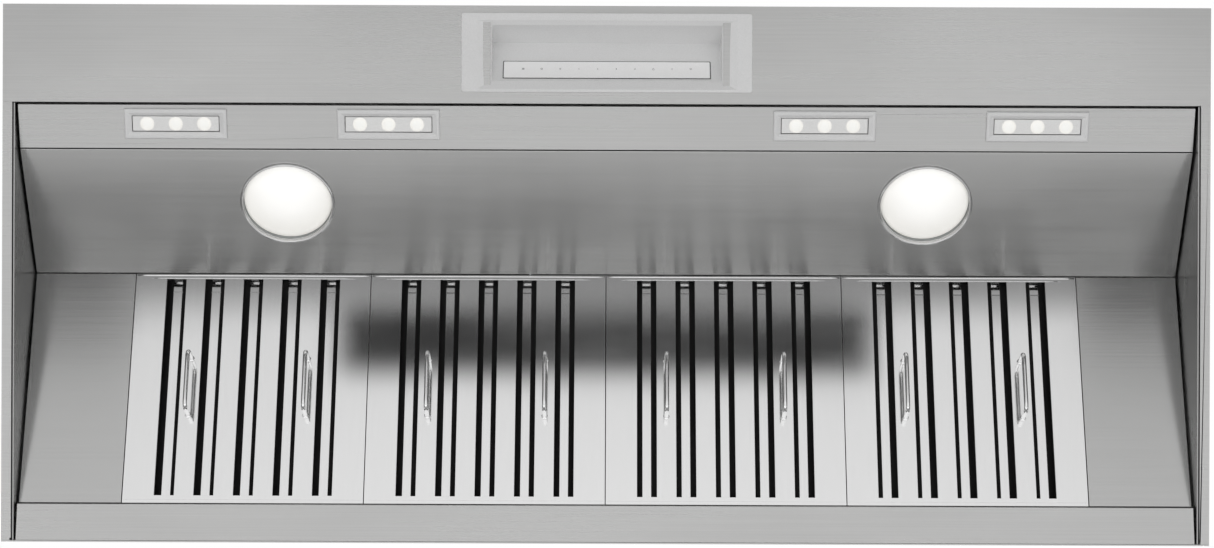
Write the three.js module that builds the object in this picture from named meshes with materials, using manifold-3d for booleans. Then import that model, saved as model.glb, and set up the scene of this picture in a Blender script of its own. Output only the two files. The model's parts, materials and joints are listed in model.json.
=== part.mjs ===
// Island range hood: a stainless canopy hung from the ceiling by a telescopic frame, with baffle filters,
// light bars, heat lamps and touch controls underneath, and a blower, damper and chimney above.
// Millimetres, +Z up, user on the -Y side. The origin is the middle of the ceiling plate's top face.
import * as THREE from 'three';
import { mergeVertices } from 'three/addons/utils/BufferGeometryUtils.js';
import Module from 'manifold-3d';

const wasm = await Module();
wasm.setup();

// ---- driving dimensions ---------------------------------------------------------------------------------
const gap = 0.3; // clearance kept between two touching pieces
const past = 5; // how far a cutting tool runs past a face
const weld = 1; // how far welded plates run into each other
const sheet = 1.5; // outer steel sheet
const panelSheet = 1.2; // inner panels and filters

// canopy, with heights counted from the rim
const canopyWidth = 1370;
const canopyDepth = 610;
const bandHeight = 150;
const roofTop = 330;
const plateauWidth = 440;
const plateauDepth = 360;
const frontFlange = 111;
const sideFlange = 11;
const flangeUpstand = 22;
const linerReveal = 1.3; // open joint between the side flange and the liner
const linerSheet = 1.7;
const linerDrop = 6; // from the band's top to the liner's top
const shellOpeningRoom = 4; // round the scroll, where it passes the roof
const hangHeight = 960; // rim to ceiling

// underside panels, from front to rear
const lightPanelDepth = 49.5;
const lightPanelGap = 3;
const lightPanelFront = 4; // height above the rim
const lightPanelRear = 19;
const lightPanelUpstand = 6;
const lampPanelUpstand = 10;
const fillerUpstand = 6;
const fillerRearUpstand = 15;
const apexHeight = 120;
const apexY = 1;
const filterRearHeight = 18;
const rearRailDepth = 42.5;
const rearRailRise = 8;
const rearRailLip = 6;
const railToFilter = 0.7;
const channelSetback = 4; // from the rear rail's inner edge to the channel's mouth
const channelLip = 4;
const channelMouth = 8;
const channelHeadroom = 5;
const panelEndGap = 2.3;

// baffle filters
const filterCount = 4;
const filterWidth = 274.8;
const filterSpacing = 1;
const filterDepth = 24;
const slotCount = 5;
const slotPitch = 45.1;
const slotWidth = 22.8;
const slotFrontMargin = 6;
const slotRearMargin = 9;
const lipHeight = 7;
const baffleFace = 12;
const baffleSpread = 34;
const baffleRecess = 14;
const baffleRail = 8;
const baffleRailSheet = 2;
const handleLength = 74;
const handleReach = 34;
const handleWire = 5;
const handleBend = 8;

// heat lamps
const lampSpacing = 736;
const lampFrontMargin = 19.1; // from the lamp panel's front edge to the trim ring
const lampTrimRadius = 54.5;
const lampTrimWall = 4.5;
const lampTrimHeight = 3;
const bulbLength = 118;
const bulbGap = 2.5;
const canGap = 3;
const canFlange = 8;
const canHeadroom = 14;
const bulbNeckRadius = 15;
const bulbCapStep = 2;
const bulbCapRadius = 6;
const socketDepth = 26;
const socketWall = 6;

// light bars
const lightBarX = [-490, -248, 248, 490];
const lightBarFrontMargin = 4.2; // from the light panel's front edge to the bezels
const bezelWidth = 117;
const bezelDepth = 35;
const bezelHeight = 3;
const barWidth = 98.4;
const barDepth = 17.6;
const barHeight = 12;
const barProud = 1.2; // below the light panel's lower face
const barRoom = 2; // between a bar and the light panel's hole
const ledRadius = 8;
const ledPitch = 32.4;

// controls
const controlWidth = 330;
const controlDepth = 90;
const controlFrontMargin = 8.3; // from the canopy's front face
const controlProud = 1.5;
const pocketWidth = 256;
const pocketFrontMargin = 8.2;
const pocketRearMargin = 8.5;
const pocketHeight = 38;
const pocketCrease = 22.7; // from the pocket's front edge to its deepest line
const pocketWall = 3;
const pocketHoleRoom = 1; // between the pocket pan and the canopy's hole
const touchWidth = 234.6;
const touchDepth = 24.6;
const touchSheet = 1.2;
const touchRearMargin = 10.4; // from the pocket's rear edge, down the sloping floor
const boardInset = 8;
const boardDepth = 18;
const boardSheet = 1.6;
const boardStandOff = 2;

// blower
const wheelRadius = 90;
const wheelSideRoom = 15; // from the wheel's end to the scroll's side plate
const wheelRing = 3;
const wheelBlade = 18;
const bladeSheet = 1.6;
const bladeCount = 20;
const bladeLean = 0.45; // radians from the radial line
const scrollClearance = 10;
const scrollGrowth = 25;
const scrollSheet = 1.5;
const scrollOutletDrop = 12; // from the scroll's highest reach to its outlet
const scrollHalfWidth = 90;
const blowerLift = 17; // from the filters' top to the scroll's lowest point
const scrollFlangeX = 14;
const scrollFlangeY = 12;
const outletFlange = 6;
const bracketRoom = 6; // between the scroll's flange and the motor bracket
const motorRadius = 52;
const hubRadius = 14;
const motorStart = 10; // from the wheel's middle
const motorShoulder = 10;
const hubLength = 24;
const bracketSheet = 2.5;
const bracketArm = 18;
const bracketLap = 14; // past the scroll's inlet
const shaftRadius = 5;
const shaftTail = 4; // past the hub

// duct collar and backdraft damper
const adapterHeight = 48;
const adapterHalfWidth = 104;
const ductRadius = 100;
const collarHeight = 70;
const damperHeight = 26; // of the damper rod above the collar's foot
const rodRadius = 2.2;
const knuckleWall = 1.8;
const flapSheet = 1.2;
const flapClearance = 1.5;
const knuckleShare = 0.3; // a knuckle's pitch, as a share of the duct's radius

// chimney and its support
const chimneyWidth = 400;
const chimneyDepth = 320;
const chimneySheet = 1.5;
const chimneyOverlap = 40;
const lowerCoverHeight = 350;
const ceilingPlateSheet = 3;
const ceilingPlateInset = 3; // from the upper cover's inner face
const coverClearance = 0.5; // between the two covers, on each side
const ductHoleRadius = 115;
const boltInsetX = 70;
const boltInsetY = 32;
const boltSlot = [24, 8];
const postLeg = 25;
const ringWidth = 15;
const postSheet = 2;
const postInsetX = 11;
const postInsetY = 5.5;
const upperPostDrop = 360;
const lowerPostRise = 390;

// electrics
const boxWidth = 84;
const boxLength = 170;
const boxHeight = 80;
const boxSheet = 1.2;
const boxFromScroll = 34;

// ---- worked-out sizes -------------------------------------------------------------------------------------
const halfWidth = canopyWidth / 2;
const halfDepth = canopyDepth / 2;
const linerFace = halfWidth - sideFlange - linerReveal - linerSheet;
const panelHalf = linerFace - panelEndGap;
const frontRailY = -halfDepth + frontFlange;
const lightPanelY = frontRailY + lightPanelGap;
const lampPanelY = lightPanelY + lightPanelDepth;
const railInnerY = halfDepth - rearRailDepth;
const filterRearY = railInnerY - railToFilter;
const filterSpan = filterCount * filterWidth + (filterCount - 1) * filterSpacing;
const lampRun = apexY - weld - lampPanelY;
const lampRise = apexHeight - lightPanelRear;
const lampLength = Math.hypot(lampRun, lampRise);
const lampSlope = Math.atan2(lampRise, lampRun);
const lampFromFront = lampFrontMargin + lampTrimRadius;
const lightSlope = Math.atan2(lightPanelRear - lightPanelFront, lightPanelDepth);
const lightBarFromFront = lightBarFrontMargin + bezelDepth / 2;
const lightLength = Math.hypot(lightPanelDepth, lightPanelRear - lightPanelFront);
const filterRun = filterRearY - apexY;
const filterDrop = apexHeight - filterRearHeight;
const filterLength = Math.hypot(filterRun, filterDrop);
const filterSlope = Math.atan2(filterDrop, filterRun);
const scrollOuter = wheelRadius + scrollClearance + scrollGrowth;
const inletRadius = wheelRadius - wheelBlade;
const wheelHalf = scrollHalfWidth - wheelSideRoom;
const blowerZ = apexHeight + filterDepth + blowerLift + scrollOuter;
const outletZ = blowerZ + scrollOuter - scrollOutletDrop;
const adapterZ = outletZ + scrollSheet + gap;
const collarZ = adapterZ + adapterHeight;
const rodZ = collarZ + damperHeight;

// ---- materials --------------------------------------------------------------------------------------------
const finish = (colour, roughness, metalness) =>
  new THREE.MeshStandardMaterial({ color: colour, roughness, metalness });
const brushed = () => finish(0xb9b9b9, 0.35, 1);
const polished = () => finish(0xdcdcdc, 0.18, 1);
const galvanised = () => finish(0x9aa0a4, 0.5, 1);
const trim = () => finish(0xcfcfcf, 0.4, 0.6);
const glow = () => {
  const material = finish(0xfff6e0, 0.4, 0);
  material.emissive.set(0xffe9c0);
  return material;
};
const darkPlastic = () => finish(0x232426, 0.6, 0);
const ceramic = () => finish(0xe8e4da, 0.5, 0);

// ---- solids -----------------------------------------------------------------------------------------------
function solid(geometry) {
  const bare = geometry.index ? geometry.toNonIndexed() : geometry.clone();
  bare.deleteAttribute('normal');
  bare.deleteAttribute('uv');
  const merged = mergeVertices(bare, 1e-4);
  return new wasm.Manifold(
    new wasm.Mesh({
      numProp: 3,
      vertProperties: merged.attributes.position.array,
      triVerts: new Uint32Array(merged.index.array),
    }),
  );
}

function geometryOf(made) {
  const mesh = made.getMesh();
  const geometry = new THREE.BufferGeometry();
  geometry.setAttribute('position', new THREE.BufferAttribute(new Float32Array(mesh.vertProperties), 3));
  geometry.setIndex(new THREE.BufferAttribute(new Uint32Array(mesh.triVerts), 1));
  geometry.computeVertexNormals();
  return geometry;
}

const join = (...geometries) => geometryOf(geometries.map(solid).reduce((all, one) => all.add(one)));
const cut = (body, ...tools) =>
  geometryOf(tools.map(solid).reduce((rest, tool) => rest.subtract(tool), solid(body)));
const common = (a, b) => geometryOf(solid(a).intersect(solid(b)));

function block(x, y, z) {
  const [x0, x1] = x;
  const [y0, y1] = y;
  const [z0, z1] = z;
  const geometry = new THREE.BoxGeometry(x1 - x0, y1 - y0, z1 - z0);
  return geometry.translate((x0 + x1) / 2, (y0 + y1) / 2, (z0 + z1) / 2);
}

const outline = (points) => new THREE.Shape(points.map(([a, b]) => new THREE.Vector2(a, b)));

function prism(shape, length) {
  return new THREE.ExtrudeGeometry(shape, { depth: length, bevelEnabled: false, curveSegments: 24 });
}

// A YZ outline drawn out along X.
function prismX(points, [x0, x1]) {
  const turn = new THREE.Matrix4().set(0, 0, 1, x0, 1, 0, 0, 0, 0, 1, 0, 0, 0, 0, 0, 1);
  return prism(outline(points), x1 - x0).applyMatrix4(turn);
}

// An XZ outline drawn out along Y.
const prismY = (points, [y0, y1]) => prism(outline(points), y1 - y0).rotateX(Math.PI / 2).translate(0, y1, 0);

// A radius-and-height outline, counter-clockwise, turned about Z.
function turned(points, sides = 24) {
  const closed = [...points, points[0]].map(([r, z]) => new THREE.Vector2(r, z));
  return new THREE.LatheGeometry(closed, sides).rotateX(Math.PI / 2);
}

const tubeWall = (inner, outer, [z0, z1], sides) =>
  turned([[inner, z0], [outer, z0], [outer, z1], [inner, z1]], sides);

function cylinder(radius, [z0, z1], sides = 32) {
  const geometry = new THREE.CylinderGeometry(radius, radius, z1 - z0, sides);
  return geometry.rotateX(Math.PI / 2).translate(0, 0, (z0 + z1) / 2);
}

function part(parent, name, geometry, material) {
  const mesh = new THREE.Mesh(geometry, material);
  mesh.name = name;
  parent.add(mesh);
  return mesh;
}

function subAssembly(parent, x, y, z, tilt = 0) {
  const group = new THREE.Group();
  group.position.set(x, y, z);
  group.rotation.x = tilt;
  parent.add(group);
  return group;
}

// ---- canopy -----------------------------------------------------------------------------------------------
// The hipped outer form, shrunk by a wall: two prisms crossed.
function canopyForm(wall, floor) {
  const side = (half, plateau) => [
    [-half + wall, floor],
    [half - wall, floor],
    [half - wall, bandHeight - wall / 2],
    [plateau / 2 - wall / 2, roofTop - wall],
    [-plateau / 2 + wall / 2, roofTop - wall],
    [-half + wall, bandHeight - wall / 2],
  ];
  return common(
    prismY(side(halfWidth, plateauWidth), [-halfDepth + wall, halfDepth - wall]),
    prismX(side(halfDepth, plateauDepth), [-halfWidth + wall, halfWidth - wall]),
  );
}

const controlY = -halfDepth + controlFrontMargin;
const pocketY = controlY + pocketFrontMargin;
const pocketEndY = controlY + controlDepth - pocketRearMargin;

function canopyShell() {
  const shell = cut(canopyForm(0, 0), canopyForm(sheet, -past));
  const flangeEnd = halfWidth - sideFlange;
  const sideX = halfWidth - weld;
  const endY = halfDepth - weld;
  const welded = join(
    shell,
    block([-sideX, sideX], [-endY, frontRailY], [0, sheet]),
    block([-flangeEnd, flangeEnd], [frontRailY - sheet, frontRailY], [0, flangeUpstand]),
    block([-sideX, -flangeEnd], [frontRailY - weld, endY], [0, sheet]),
    block([flangeEnd, sideX], [frontRailY - weld, endY], [0, sheet]),
  );
  const pocketRoom = pocketWall + pocketHoleRoom;
  const pocketX = pocketWidth / 2 + pocketRoom;
  const openingX = scrollHalfWidth + scrollSheet + shellOpeningRoom;
  const openingY = scrollOuter + shellOpeningRoom;
  return cut(
    welded,
    block([-pocketX, pocketX], [pocketY - pocketRoom, pocketEndY + pocketRoom], [-past, sheet + past]),
    block([-openingX, openingX], [-openingY, openingY], [roofTop - 2 * past, roofTop + past]),
  );
}

function sideLiner(side) {
  const faces = [side * linerFace, side * (linerFace + linerSheet)].sort((a, b) => a - b);
  return block(faces, [frontRailY + weld, halfDepth - sheet - gap], [gap, bandHeight - linerDrop]);
}

// The sloped strip under the rear edge, with a short lip that catches drips.
function rearRail() {
  const outerY = halfDepth - sheet - gap;
  return prismX(
    [
      [outerY, gap],
      [outerY, gap + sheet],
      [railInnerY + sheet, rearRailRise + sheet],
      [railInnerY + sheet, rearRailRise + rearRailLip],
      [railInnerY, rearRailRise + rearRailLip],
      [railInnerY, rearRailRise],
    ],
    [-panelHalf, panelHalf],
  );
}

// The channel that takes the filters' rear edges and gathers their grease.
function greaseChannel() {
  const mouthY = railInnerY + channelSetback;
  const backY = halfDepth - sheet - gap;
  const floorZ = rearRailRise + sheet + 2 * gap;
  const topZ = filterRearHeight + filterDepth + channelHeadroom;
  const innerBackY = backY - panelSheet;
  const innerFloorZ = floorZ + panelSheet;
  return prismX(
    [
      [mouthY, floorZ],
      [backY, floorZ],
      [backY, topZ],
      [mouthY + channelMouth, topZ],
      [mouthY + channelMouth, topZ - panelSheet],
      [innerBackY, topZ - panelSheet],
      [innerBackY, innerFloorZ],
      [mouthY + panelSheet, innerFloorZ],
      [mouthY + panelSheet, floorZ + channelLip],
      [mouthY, floorZ + channelLip],
    ],
    [-panelHalf, panelHalf],
  );
}

function lightPanel() {
  const plate = join(
    block([-panelHalf, panelHalf], [0, lightLength - weld], [0, panelSheet]),
    block([-panelHalf, panelHalf], [0, panelSheet], [0, lightPanelUpstand]),
  );
  const room = 2 * barRoom;
  const holes = lightBarX.map((x) =>
    block(
      [x - barWidth / 2 - barRoom, x + barWidth / 2 + barRoom],
      lightBarSpan(barDepth + room),
      [-past, past],
    ),
  );
  return cut(plate, ...holes);
}

const lightBarSpan = (depth) => [lightBarFromFront - depth / 2, lightBarFromFront + depth / 2];

function lampPanel() {
  const foot = gap * 2;
  const plate = join(
    block([-panelHalf, panelHalf], [foot, lampLength - foot], [0, panelSheet]),
    block([-panelHalf, panelHalf], [foot, foot + panelSheet], [0, lampPanelUpstand]),
  );
  const holeRadius = lampTrimRadius - lampTrimWall + weld;
  const holes = [-1, 1].map((side) =>
    cylinder(holeRadius, [-past, past]).translate((side * lampSpacing) / 2, lampFromFront, 0),
  );
  return cut(plate, ...holes);
}

function fillerPanel(side) {
  const inner = filterSpan / 2 + filterSpacing;
  const ends = [side * inner, side * panelHalf].sort((a, b) => a - b);
  return join(
    block(ends, [0, filterLength], [0, panelSheet]),
    block(ends, [0, panelSheet], [0, fillerUpstand]),
    block(ends, [filterLength - panelSheet, filterLength], [0, fillerRearUpstand]),
  );
}

// ---- baffle filters ---------------------------------------------------------------------------------------
// Local frame: +X across, +Y from the apex down to the rear edge, +Z into the hood.
const slotX = Array.from({ length: slotCount }, (_, i) => (i - (slotCount - 1) / 2) * slotPitch);
const slotSpan = [slotFrontMargin, filterLength - slotRearMargin];

function filterFrame() {
  const half = filterWidth / 2;
  const pan = cut(
    block([-half, half], [0, filterLength], [0, filterDepth]),
    block(
      [-half + panelSheet, half - panelSheet],
      [panelSheet, filterLength - panelSheet],
      [panelSheet, filterDepth + past],
    ),
  );
  const lips = slotX.flatMap((x) =>
    [-1, 1].map((side) => {
      const edge = x + (side * slotWidth) / 2;
      const wall = [edge, edge + side * panelSheet].sort((a, b) => a - b);
      return block(wall, slotSpan, [0, lipHeight]);
    }),
  );
  const slots = slotX.map((x) =>
    block([x - slotWidth / 2, x + slotWidth / 2], slotSpan, [-past, panelSheet + weld]),
  );
  return cut(join(pan, ...lips), ...slots);
}

// Rear baffles: hat sections behind the slots, held by a rail at each end.
function filterBaffles() {
  const low = baffleRecess;
  const high = filterDepth - 2 * panelSheet;
  const inner = baffleFace / 2;
  const outer = baffleSpread / 2;
  const hat = (x) => [
    [x - inner, low],
    [x + inner, low],
    [x + outer, high - panelSheet],
    [x + outer, high],
    [x + outer - panelSheet, high],
    [x + inner - panelSheet / 2, low + panelSheet],
    [x - inner + panelSheet / 2, low + panelSheet],
    [x - outer + panelSheet, high],
    [x - outer, high],
    [x - outer, high - panelSheet],
  ];
  const near = panelSheet + gap;
  const far = filterLength - near;
  const half = filterWidth / 2 - near;
  const rails = [
    block([-half, half], [near, near + baffleRail], [high - baffleRailSheet, high + panelSheet]),
    block([-half, half], [far - baffleRail, far], [high - baffleRailSheet, high + panelSheet]),
  ];
  return join(...rails, ...slotX.map((x) => prismY(hat(x), [near, far])));
}

// A bent wire, its legs standing on the filter's face.
function filterHandle() {
  const r = handleWire / 2;
  const low = -handleReach + r;
  const start = r;
  const end = handleLength - r;
  const bendZ = low + handleBend;
  const path = new THREE.CurvePath();
  const at = (y, z) => new THREE.Vector3(0, y, z);
  const bend = (...points) => new THREE.QuadraticBezierCurve3(...points);
  path.add(new THREE.LineCurve3(at(start, -gap), at(start, bendZ)));
  path.add(bend(at(start, bendZ), at(start, low), at(start + handleBend, low)));
  path.add(new THREE.LineCurve3(at(start + handleBend, low), at(end - handleBend, low)));
  path.add(bend(at(end - handleBend, low), at(end, low), at(end, bendZ)));
  path.add(new THREE.LineCurve3(at(end, bendZ), at(end, -gap)));
  const section = new THREE.Shape();
  section.absarc(0, 0, r, 0, 2 * Math.PI);
  return new THREE.ExtrudeGeometry(section, {
    extrudePath: path,
    steps: 18,
    curveSegments: 4,
    bevelEnabled: false,
  });
}

function addFilter(hood, index) {
  const x = (index - (filterCount - 1) / 2) * (filterWidth + filterSpacing);
  const filter = subAssembly(hood, x, apexY, apexHeight, -filterSlope);
  const name = `filter_${index + 1}`;
  part(filter, `${name}_frame`, filterFrame(), polished());
  part(filter, `${name}_baffles`, filterBaffles(), polished());
  const gripX = ((slotCount - 2) * slotPitch) / 2;
  [-1, 1].forEach((side) => {
    const grip = subAssembly(filter, side * gripX, (filterLength - handleLength) / 2, 0);
    part(grip, `${name}_handle_${side < 0 ? 'left' : 'right'}`, filterHandle(), polished());
  });
}

// ---- heat lamps -------------------------------------------------------------------------------------------
// Local frame: +Z along the lamp, up into the hood; z = 0 is the panel's lower face.
function addHeatLamp(hood, side) {
  const middleY = lampPanelY + lampFromFront * Math.cos(lampSlope);
  const middleZ = lightPanelRear + lampFromFront * Math.sin(lampSlope);
  const lamp = subAssembly(hood, (side * lampSpacing) / 2, middleY, middleZ, lampSlope);
  const name = `heat_lamp_${side < 0 ? 'left' : 'right'}`;
  const opening = lampTrimRadius - lampTrimWall;
  const canRadius = opening + canGap;
  const canFoot = panelSheet + gap;
  const canTop = bulbLength + canHeadroom;
  const bulbRadius = opening - bulbGap;
  const capRadius = bulbNeckRadius - bulbCapStep;
  const trimRing = [
    [opening, -gap],
    [opening, -lampTrimHeight + 1],
    [opening + 1, -lampTrimHeight],
    [lampTrimRadius - 1, -lampTrimHeight],
    [lampTrimRadius, -lampTrimHeight + 1],
    [lampTrimRadius, -gap],
  ];
  const can = [
    [canRadius, canFoot],
    [canRadius + canFlange, canFoot],
    [canRadius + canFlange, canFoot + panelSheet],
    [canRadius + panelSheet, canFoot + panelSheet],
    [canRadius + panelSheet, canTop],
    [bulbNeckRadius, canTop],
    [bulbNeckRadius, canTop - panelSheet],
    [canRadius, canTop - panelSheet],
  ];
  const socketZ = [bulbLength - socketDepth, canTop - panelSheet - gap];
  const bulb = [
    [0, -2],
    [bulbRadius * 0.6, 0],
    [bulbRadius * 0.92, 4],
    [bulbRadius, 11],
    [bulbRadius * 0.9, 26],
    [bulbNeckRadius * 1.5, 66],
    [capRadius, socketZ[0] - bulbCapRadius],
    [capRadius, bulbLength - bulbCapStep],
    [bulbCapRadius, bulbLength],
    [0, bulbLength],
  ];
  const socket = [
    [capRadius + gap, socketZ[0]],
    [bulbNeckRadius + socketWall, socketZ[0]],
    [bulbNeckRadius + socketWall, socketZ[1]],
    [capRadius + gap, socketZ[1]],
  ];
  part(lamp, `${name}_trim`, turned(trimRing), trim());
  part(lamp, `${name}_can`, turned(can, 20), galvanised());
  part(lamp, `${name}_socket`, turned(socket, 16), ceramic());
  const bulbGeometry = new THREE.LatheGeometry(bulb.map(([r, z]) => new THREE.Vector2(r, z)), 24);
  part(lamp, `${name}_bulb`, bulbGeometry.rotateX(Math.PI / 2), glow());
}

// ---- light bars -------------------------------------------------------------------------------------------
function addLightBar(hood, x, index) {
  const bar = subAssembly(hood, x, lightPanelY, lightPanelFront, lightSlope);
  const lens = (offset, radius, z) => cylinder(radius, z, 12).translate(offset, lightBarFromFront, 0);
  const lensX = [-ledPitch, 0, ledPitch];
  const bezel = cut(
    block([-bezelWidth / 2, bezelWidth / 2], lightBarSpan(bezelDepth), [-bezelHeight, -gap]),
    block([-barWidth / 2 - gap, barWidth / 2 + gap], lightBarSpan(barDepth + 2 * gap), [-past, past]),
    ...lensX.map((offset) => lens(offset, ledRadius + gap, [-past, past])),
  );
  const module = join(
    block([-barWidth / 2, barWidth / 2], lightBarSpan(barDepth), [-barProud, barHeight]),
    ...lensX.map((offset) => lens(offset, ledRadius, [-bezelHeight + 2 * gap, 0])),
  );
  part(bar, `light_bar_${index + 1}_bezel`, bezel, trim());
  part(bar, `light_bar_${index + 1}_module`, module, glow());
}

// ---- controls ---------------------------------------------------------------------------------------------
const mouthZ = -controlProud - gap;
const creaseY = pocketY + pocketCrease;

// The pocket in YZ: a steep front wall and a long sloping floor that meet at the crease.
const pocketHollow = [
  [pocketY, mouthZ - past],
  [pocketEndY, mouthZ - past],
  [pocketEndY, mouthZ],
  [creaseY, pocketHeight],
  [pocketY, mouthZ],
];
const pocketPan = [
  [pocketY - pocketWall, mouthZ / 2],
  [pocketEndY + pocketWall, mouthZ / 2],
  [pocketEndY + pocketWall, 0],
  [creaseY + pocketWall / 2, pocketHeight + pocketWall],
  [creaseY - pocketWall / 2, pocketHeight + pocketWall],
  [pocketY - pocketWall, 0],
];
const floorRise = pocketHeight - mouthZ;
const floorRun = pocketEndY - creaseY;
const touchStart = Math.hypot(floorRise, floorRun) - touchRearMargin - touchDepth;

// The touch strip's seat: local +Y down the sloping floor, +Z into the housing.
function touchSeat(parent) {
  const seat = subAssembly(parent, 0, creaseY, pocketHeight, -Math.atan2(floorRise, floorRun));
  seat.updateMatrix();
  return seat;
}

function controlHousing(seat) {
  const plate = block(
    [-controlWidth / 2, controlWidth / 2],
    [controlY, controlY + controlDepth],
    [mouthZ, -gap],
  );
  const pan = prismX(pocketPan, [-pocketWidth / 2 - pocketWall, pocketWidth / 2 + pocketWall]);
  const hollow = prismX(pocketHollow, [-pocketWidth / 2, pocketWidth / 2]);
  const recess = block(
    [-touchWidth / 2 - gap, touchWidth / 2 + gap],
    [touchStart - gap, touchStart + touchDepth + gap],
    [-weld, touchSheet + gap],
  ).applyMatrix4(seat.matrix);
  return cut(join(plate, pan), hollow, recess);
}

function addControls(hood) {
  const seat = touchSeat(hood);
  const touchSpan = [touchStart, touchStart + touchDepth];
  const strip = block([-touchWidth / 2, touchWidth / 2], touchSpan, [0, touchSheet]);
  const boardX = touchWidth / 2 - boardInset;
  const boardY = touchStart + (touchDepth - boardDepth) / 2;
  const boardZ = touchSheet + pocketWall + boardStandOff;
  const board = block([-boardX, boardX], [boardY, boardY + boardDepth], [boardZ, boardZ + boardSheet]);
  part(hood, 'control_housing', controlHousing(seat), trim());
  part(seat, 'touch_strip', strip, finish(0xd2d2d2, 0.25, 0));
  part(seat, 'control_board', board, finish(0x1f5b3a, 0.6, 0));
}

// ---- blower -----------------------------------------------------------------------------------------------
// The scroll's edge in YZ: it grows round the wheel and leaves straight up at the rear.
function scrollOutline(grow) {
  const points = [];
  const steps = 20;
  const startAngle = Math.PI * 0.32;
  for (let i = 0; i <= steps; i += 1) {
    const share = i / steps;
    const angle = startAngle + share * (2 * Math.PI - startAngle);
    const radius = wheelRadius + scrollClearance + scrollGrowth * share + grow;
    points.push([radius * Math.cos(angle), blowerZ + radius * Math.sin(angle)]);
  }
  const tongueY = points[0][0];
  const topZ = outletZ + (grow ? 0 : past);
  points.push([scrollOuter + grow, topZ]);
  points.push([tongueY, topZ]);
  return points;
}

function blowerHousing() {
  const half = scrollHalfWidth;
  const flangeX = half + scrollFlangeX;
  const flangeY = scrollOuter + scrollFlangeY;
  const coverY = chimneyDepth / 2 - chimneySheet - gap;
  const flangeZ = roofTop + 2 * gap + postSheet;
  const notchY = wheelRadius + bracketRoom;
  const outer = prismX(scrollOutline(scrollSheet), [-half, half]);
  const flange = cut(
    block([-flangeX, flangeX], [-flangeY, flangeY], [flangeZ, flangeZ + sheet]),
    ...[-1, 1].flatMap((side) => {
      const x = [side * half, side * (flangeX + past)].sort((a, b) => a - b);
      const y = [side * coverY, side * (flangeY + coverY)].sort((a, b) => a - b);
      return [
        block(x, [-notchY, notchY], [flangeZ - past, flangeZ + past]),
        block([-flangeX - past, flangeX + past], y, [flangeZ - past, flangeZ + past]),
      ];
    }),
  );
  const lid = block(
    [-half - outletFlange, half + outletFlange],
    [-adapterHalfWidth, scrollOuter + scrollSheet],
    [outletZ - scrollSheet - weld / 2, outletZ],
  );
  const hollow = prismX(scrollOutline(0), [-half + scrollSheet, half - scrollSheet]);
  const inlet = cylinder(inletRadius, [-half - past, half + past]).rotateY(Math.PI / 2);
  return cut(join(outer, flange, lid), hollow, inlet.translate(0, 0, blowerZ));
}

// One forward-leaning blade, at the wheel's rim.
function wheelBladePlate(turn) {
  const length = wheelBlade - bladeSheet;
  return block([-length, 0], [-bladeSheet / 2, bladeSheet / 2], [-wheelHalf + weld, wheelHalf - weld])
    .rotateZ(bladeLean)
    .translate(wheelRadius - bladeSheet, 0, 0)
    .rotateZ(turn);
}

function impeller() {
  const sides = 28;
  const ringInner = inletRadius + weld;
  const turns = Array.from({ length: bladeCount }, (_, i) => (2 * Math.PI * i) / bladeCount);
  const wheel = join(
    tubeWall(ringInner, wheelRadius, [-wheelHalf, -wheelHalf + wheelRing], sides),
    tubeWall(ringInner, wheelRadius, [wheelHalf - wheelRing, wheelHalf], sides),
    cylinder(wheelRadius - wheelRing, [-wheelRing / 2, wheelRing / 2], sides),
    cylinder(hubRadius, [-hubLength, weld], 16),
    ...turns.map(wheelBladePlate),
  );
  const bore = cylinder(shaftRadius + gap, [-hubLength - past, wheelRing + past], 12);
  return cut(wheel, bore).rotateY(Math.PI / 2);
}

const motorShaft = () =>
  cylinder(shaftRadius, [-hubLength - shaftTail, scrollHalfWidth + weld], 12).rotateY(Math.PI / 2);

function motor() {
  const bore = shaftRadius + gap;
  const endRadius = motorRadius - motorShoulder;
  return turned([
    [bore, motorStart],
    [endRadius, motorStart],
    [motorRadius, motorStart + motorShoulder],
    [motorRadius, scrollHalfWidth - motorShoulder],
    [endRadius, scrollHalfWidth],
    [bore, scrollHalfWidth],
  ]).rotateY(Math.PI / 2);
}

// Three arms from the motor's rear end to the scroll's side plate.
function motorBracket() {
  const reach = inletRadius + bracketLap;
  const arms = Array.from({ length: 3 }, (_, i) =>
    block([0, reach], [-bracketArm / 2, bracketArm / 2], [0, bracketSheet]).rotateZ((2 * Math.PI * i) / 3),
  );
  const disc = cylinder(motorRadius - motorShoulder - bracketArm / 4, [0, bracketSheet], 20);
  const clear = cylinder(shaftRadius + bracketSheet, [-past, past], 12);
  return cut(join(disc, ...arms), clear).rotateY(Math.PI / 2).translate(scrollHalfWidth + gap, 0, 0);
}

function addBlower(hood) {
  part(hood, 'blower_housing', blowerHousing(), galvanised());
  const centre = subAssembly(hood, 0, 0, blowerZ);
  part(centre, 'impeller', impeller(), galvanised());
  part(centre, 'motor_shaft', motorShaft(), galvanised());
  part(centre, 'blower_motor', motor(), darkPlastic());
  part(centre, 'motor_bracket', motorBracket(), galvanised());
}

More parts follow.
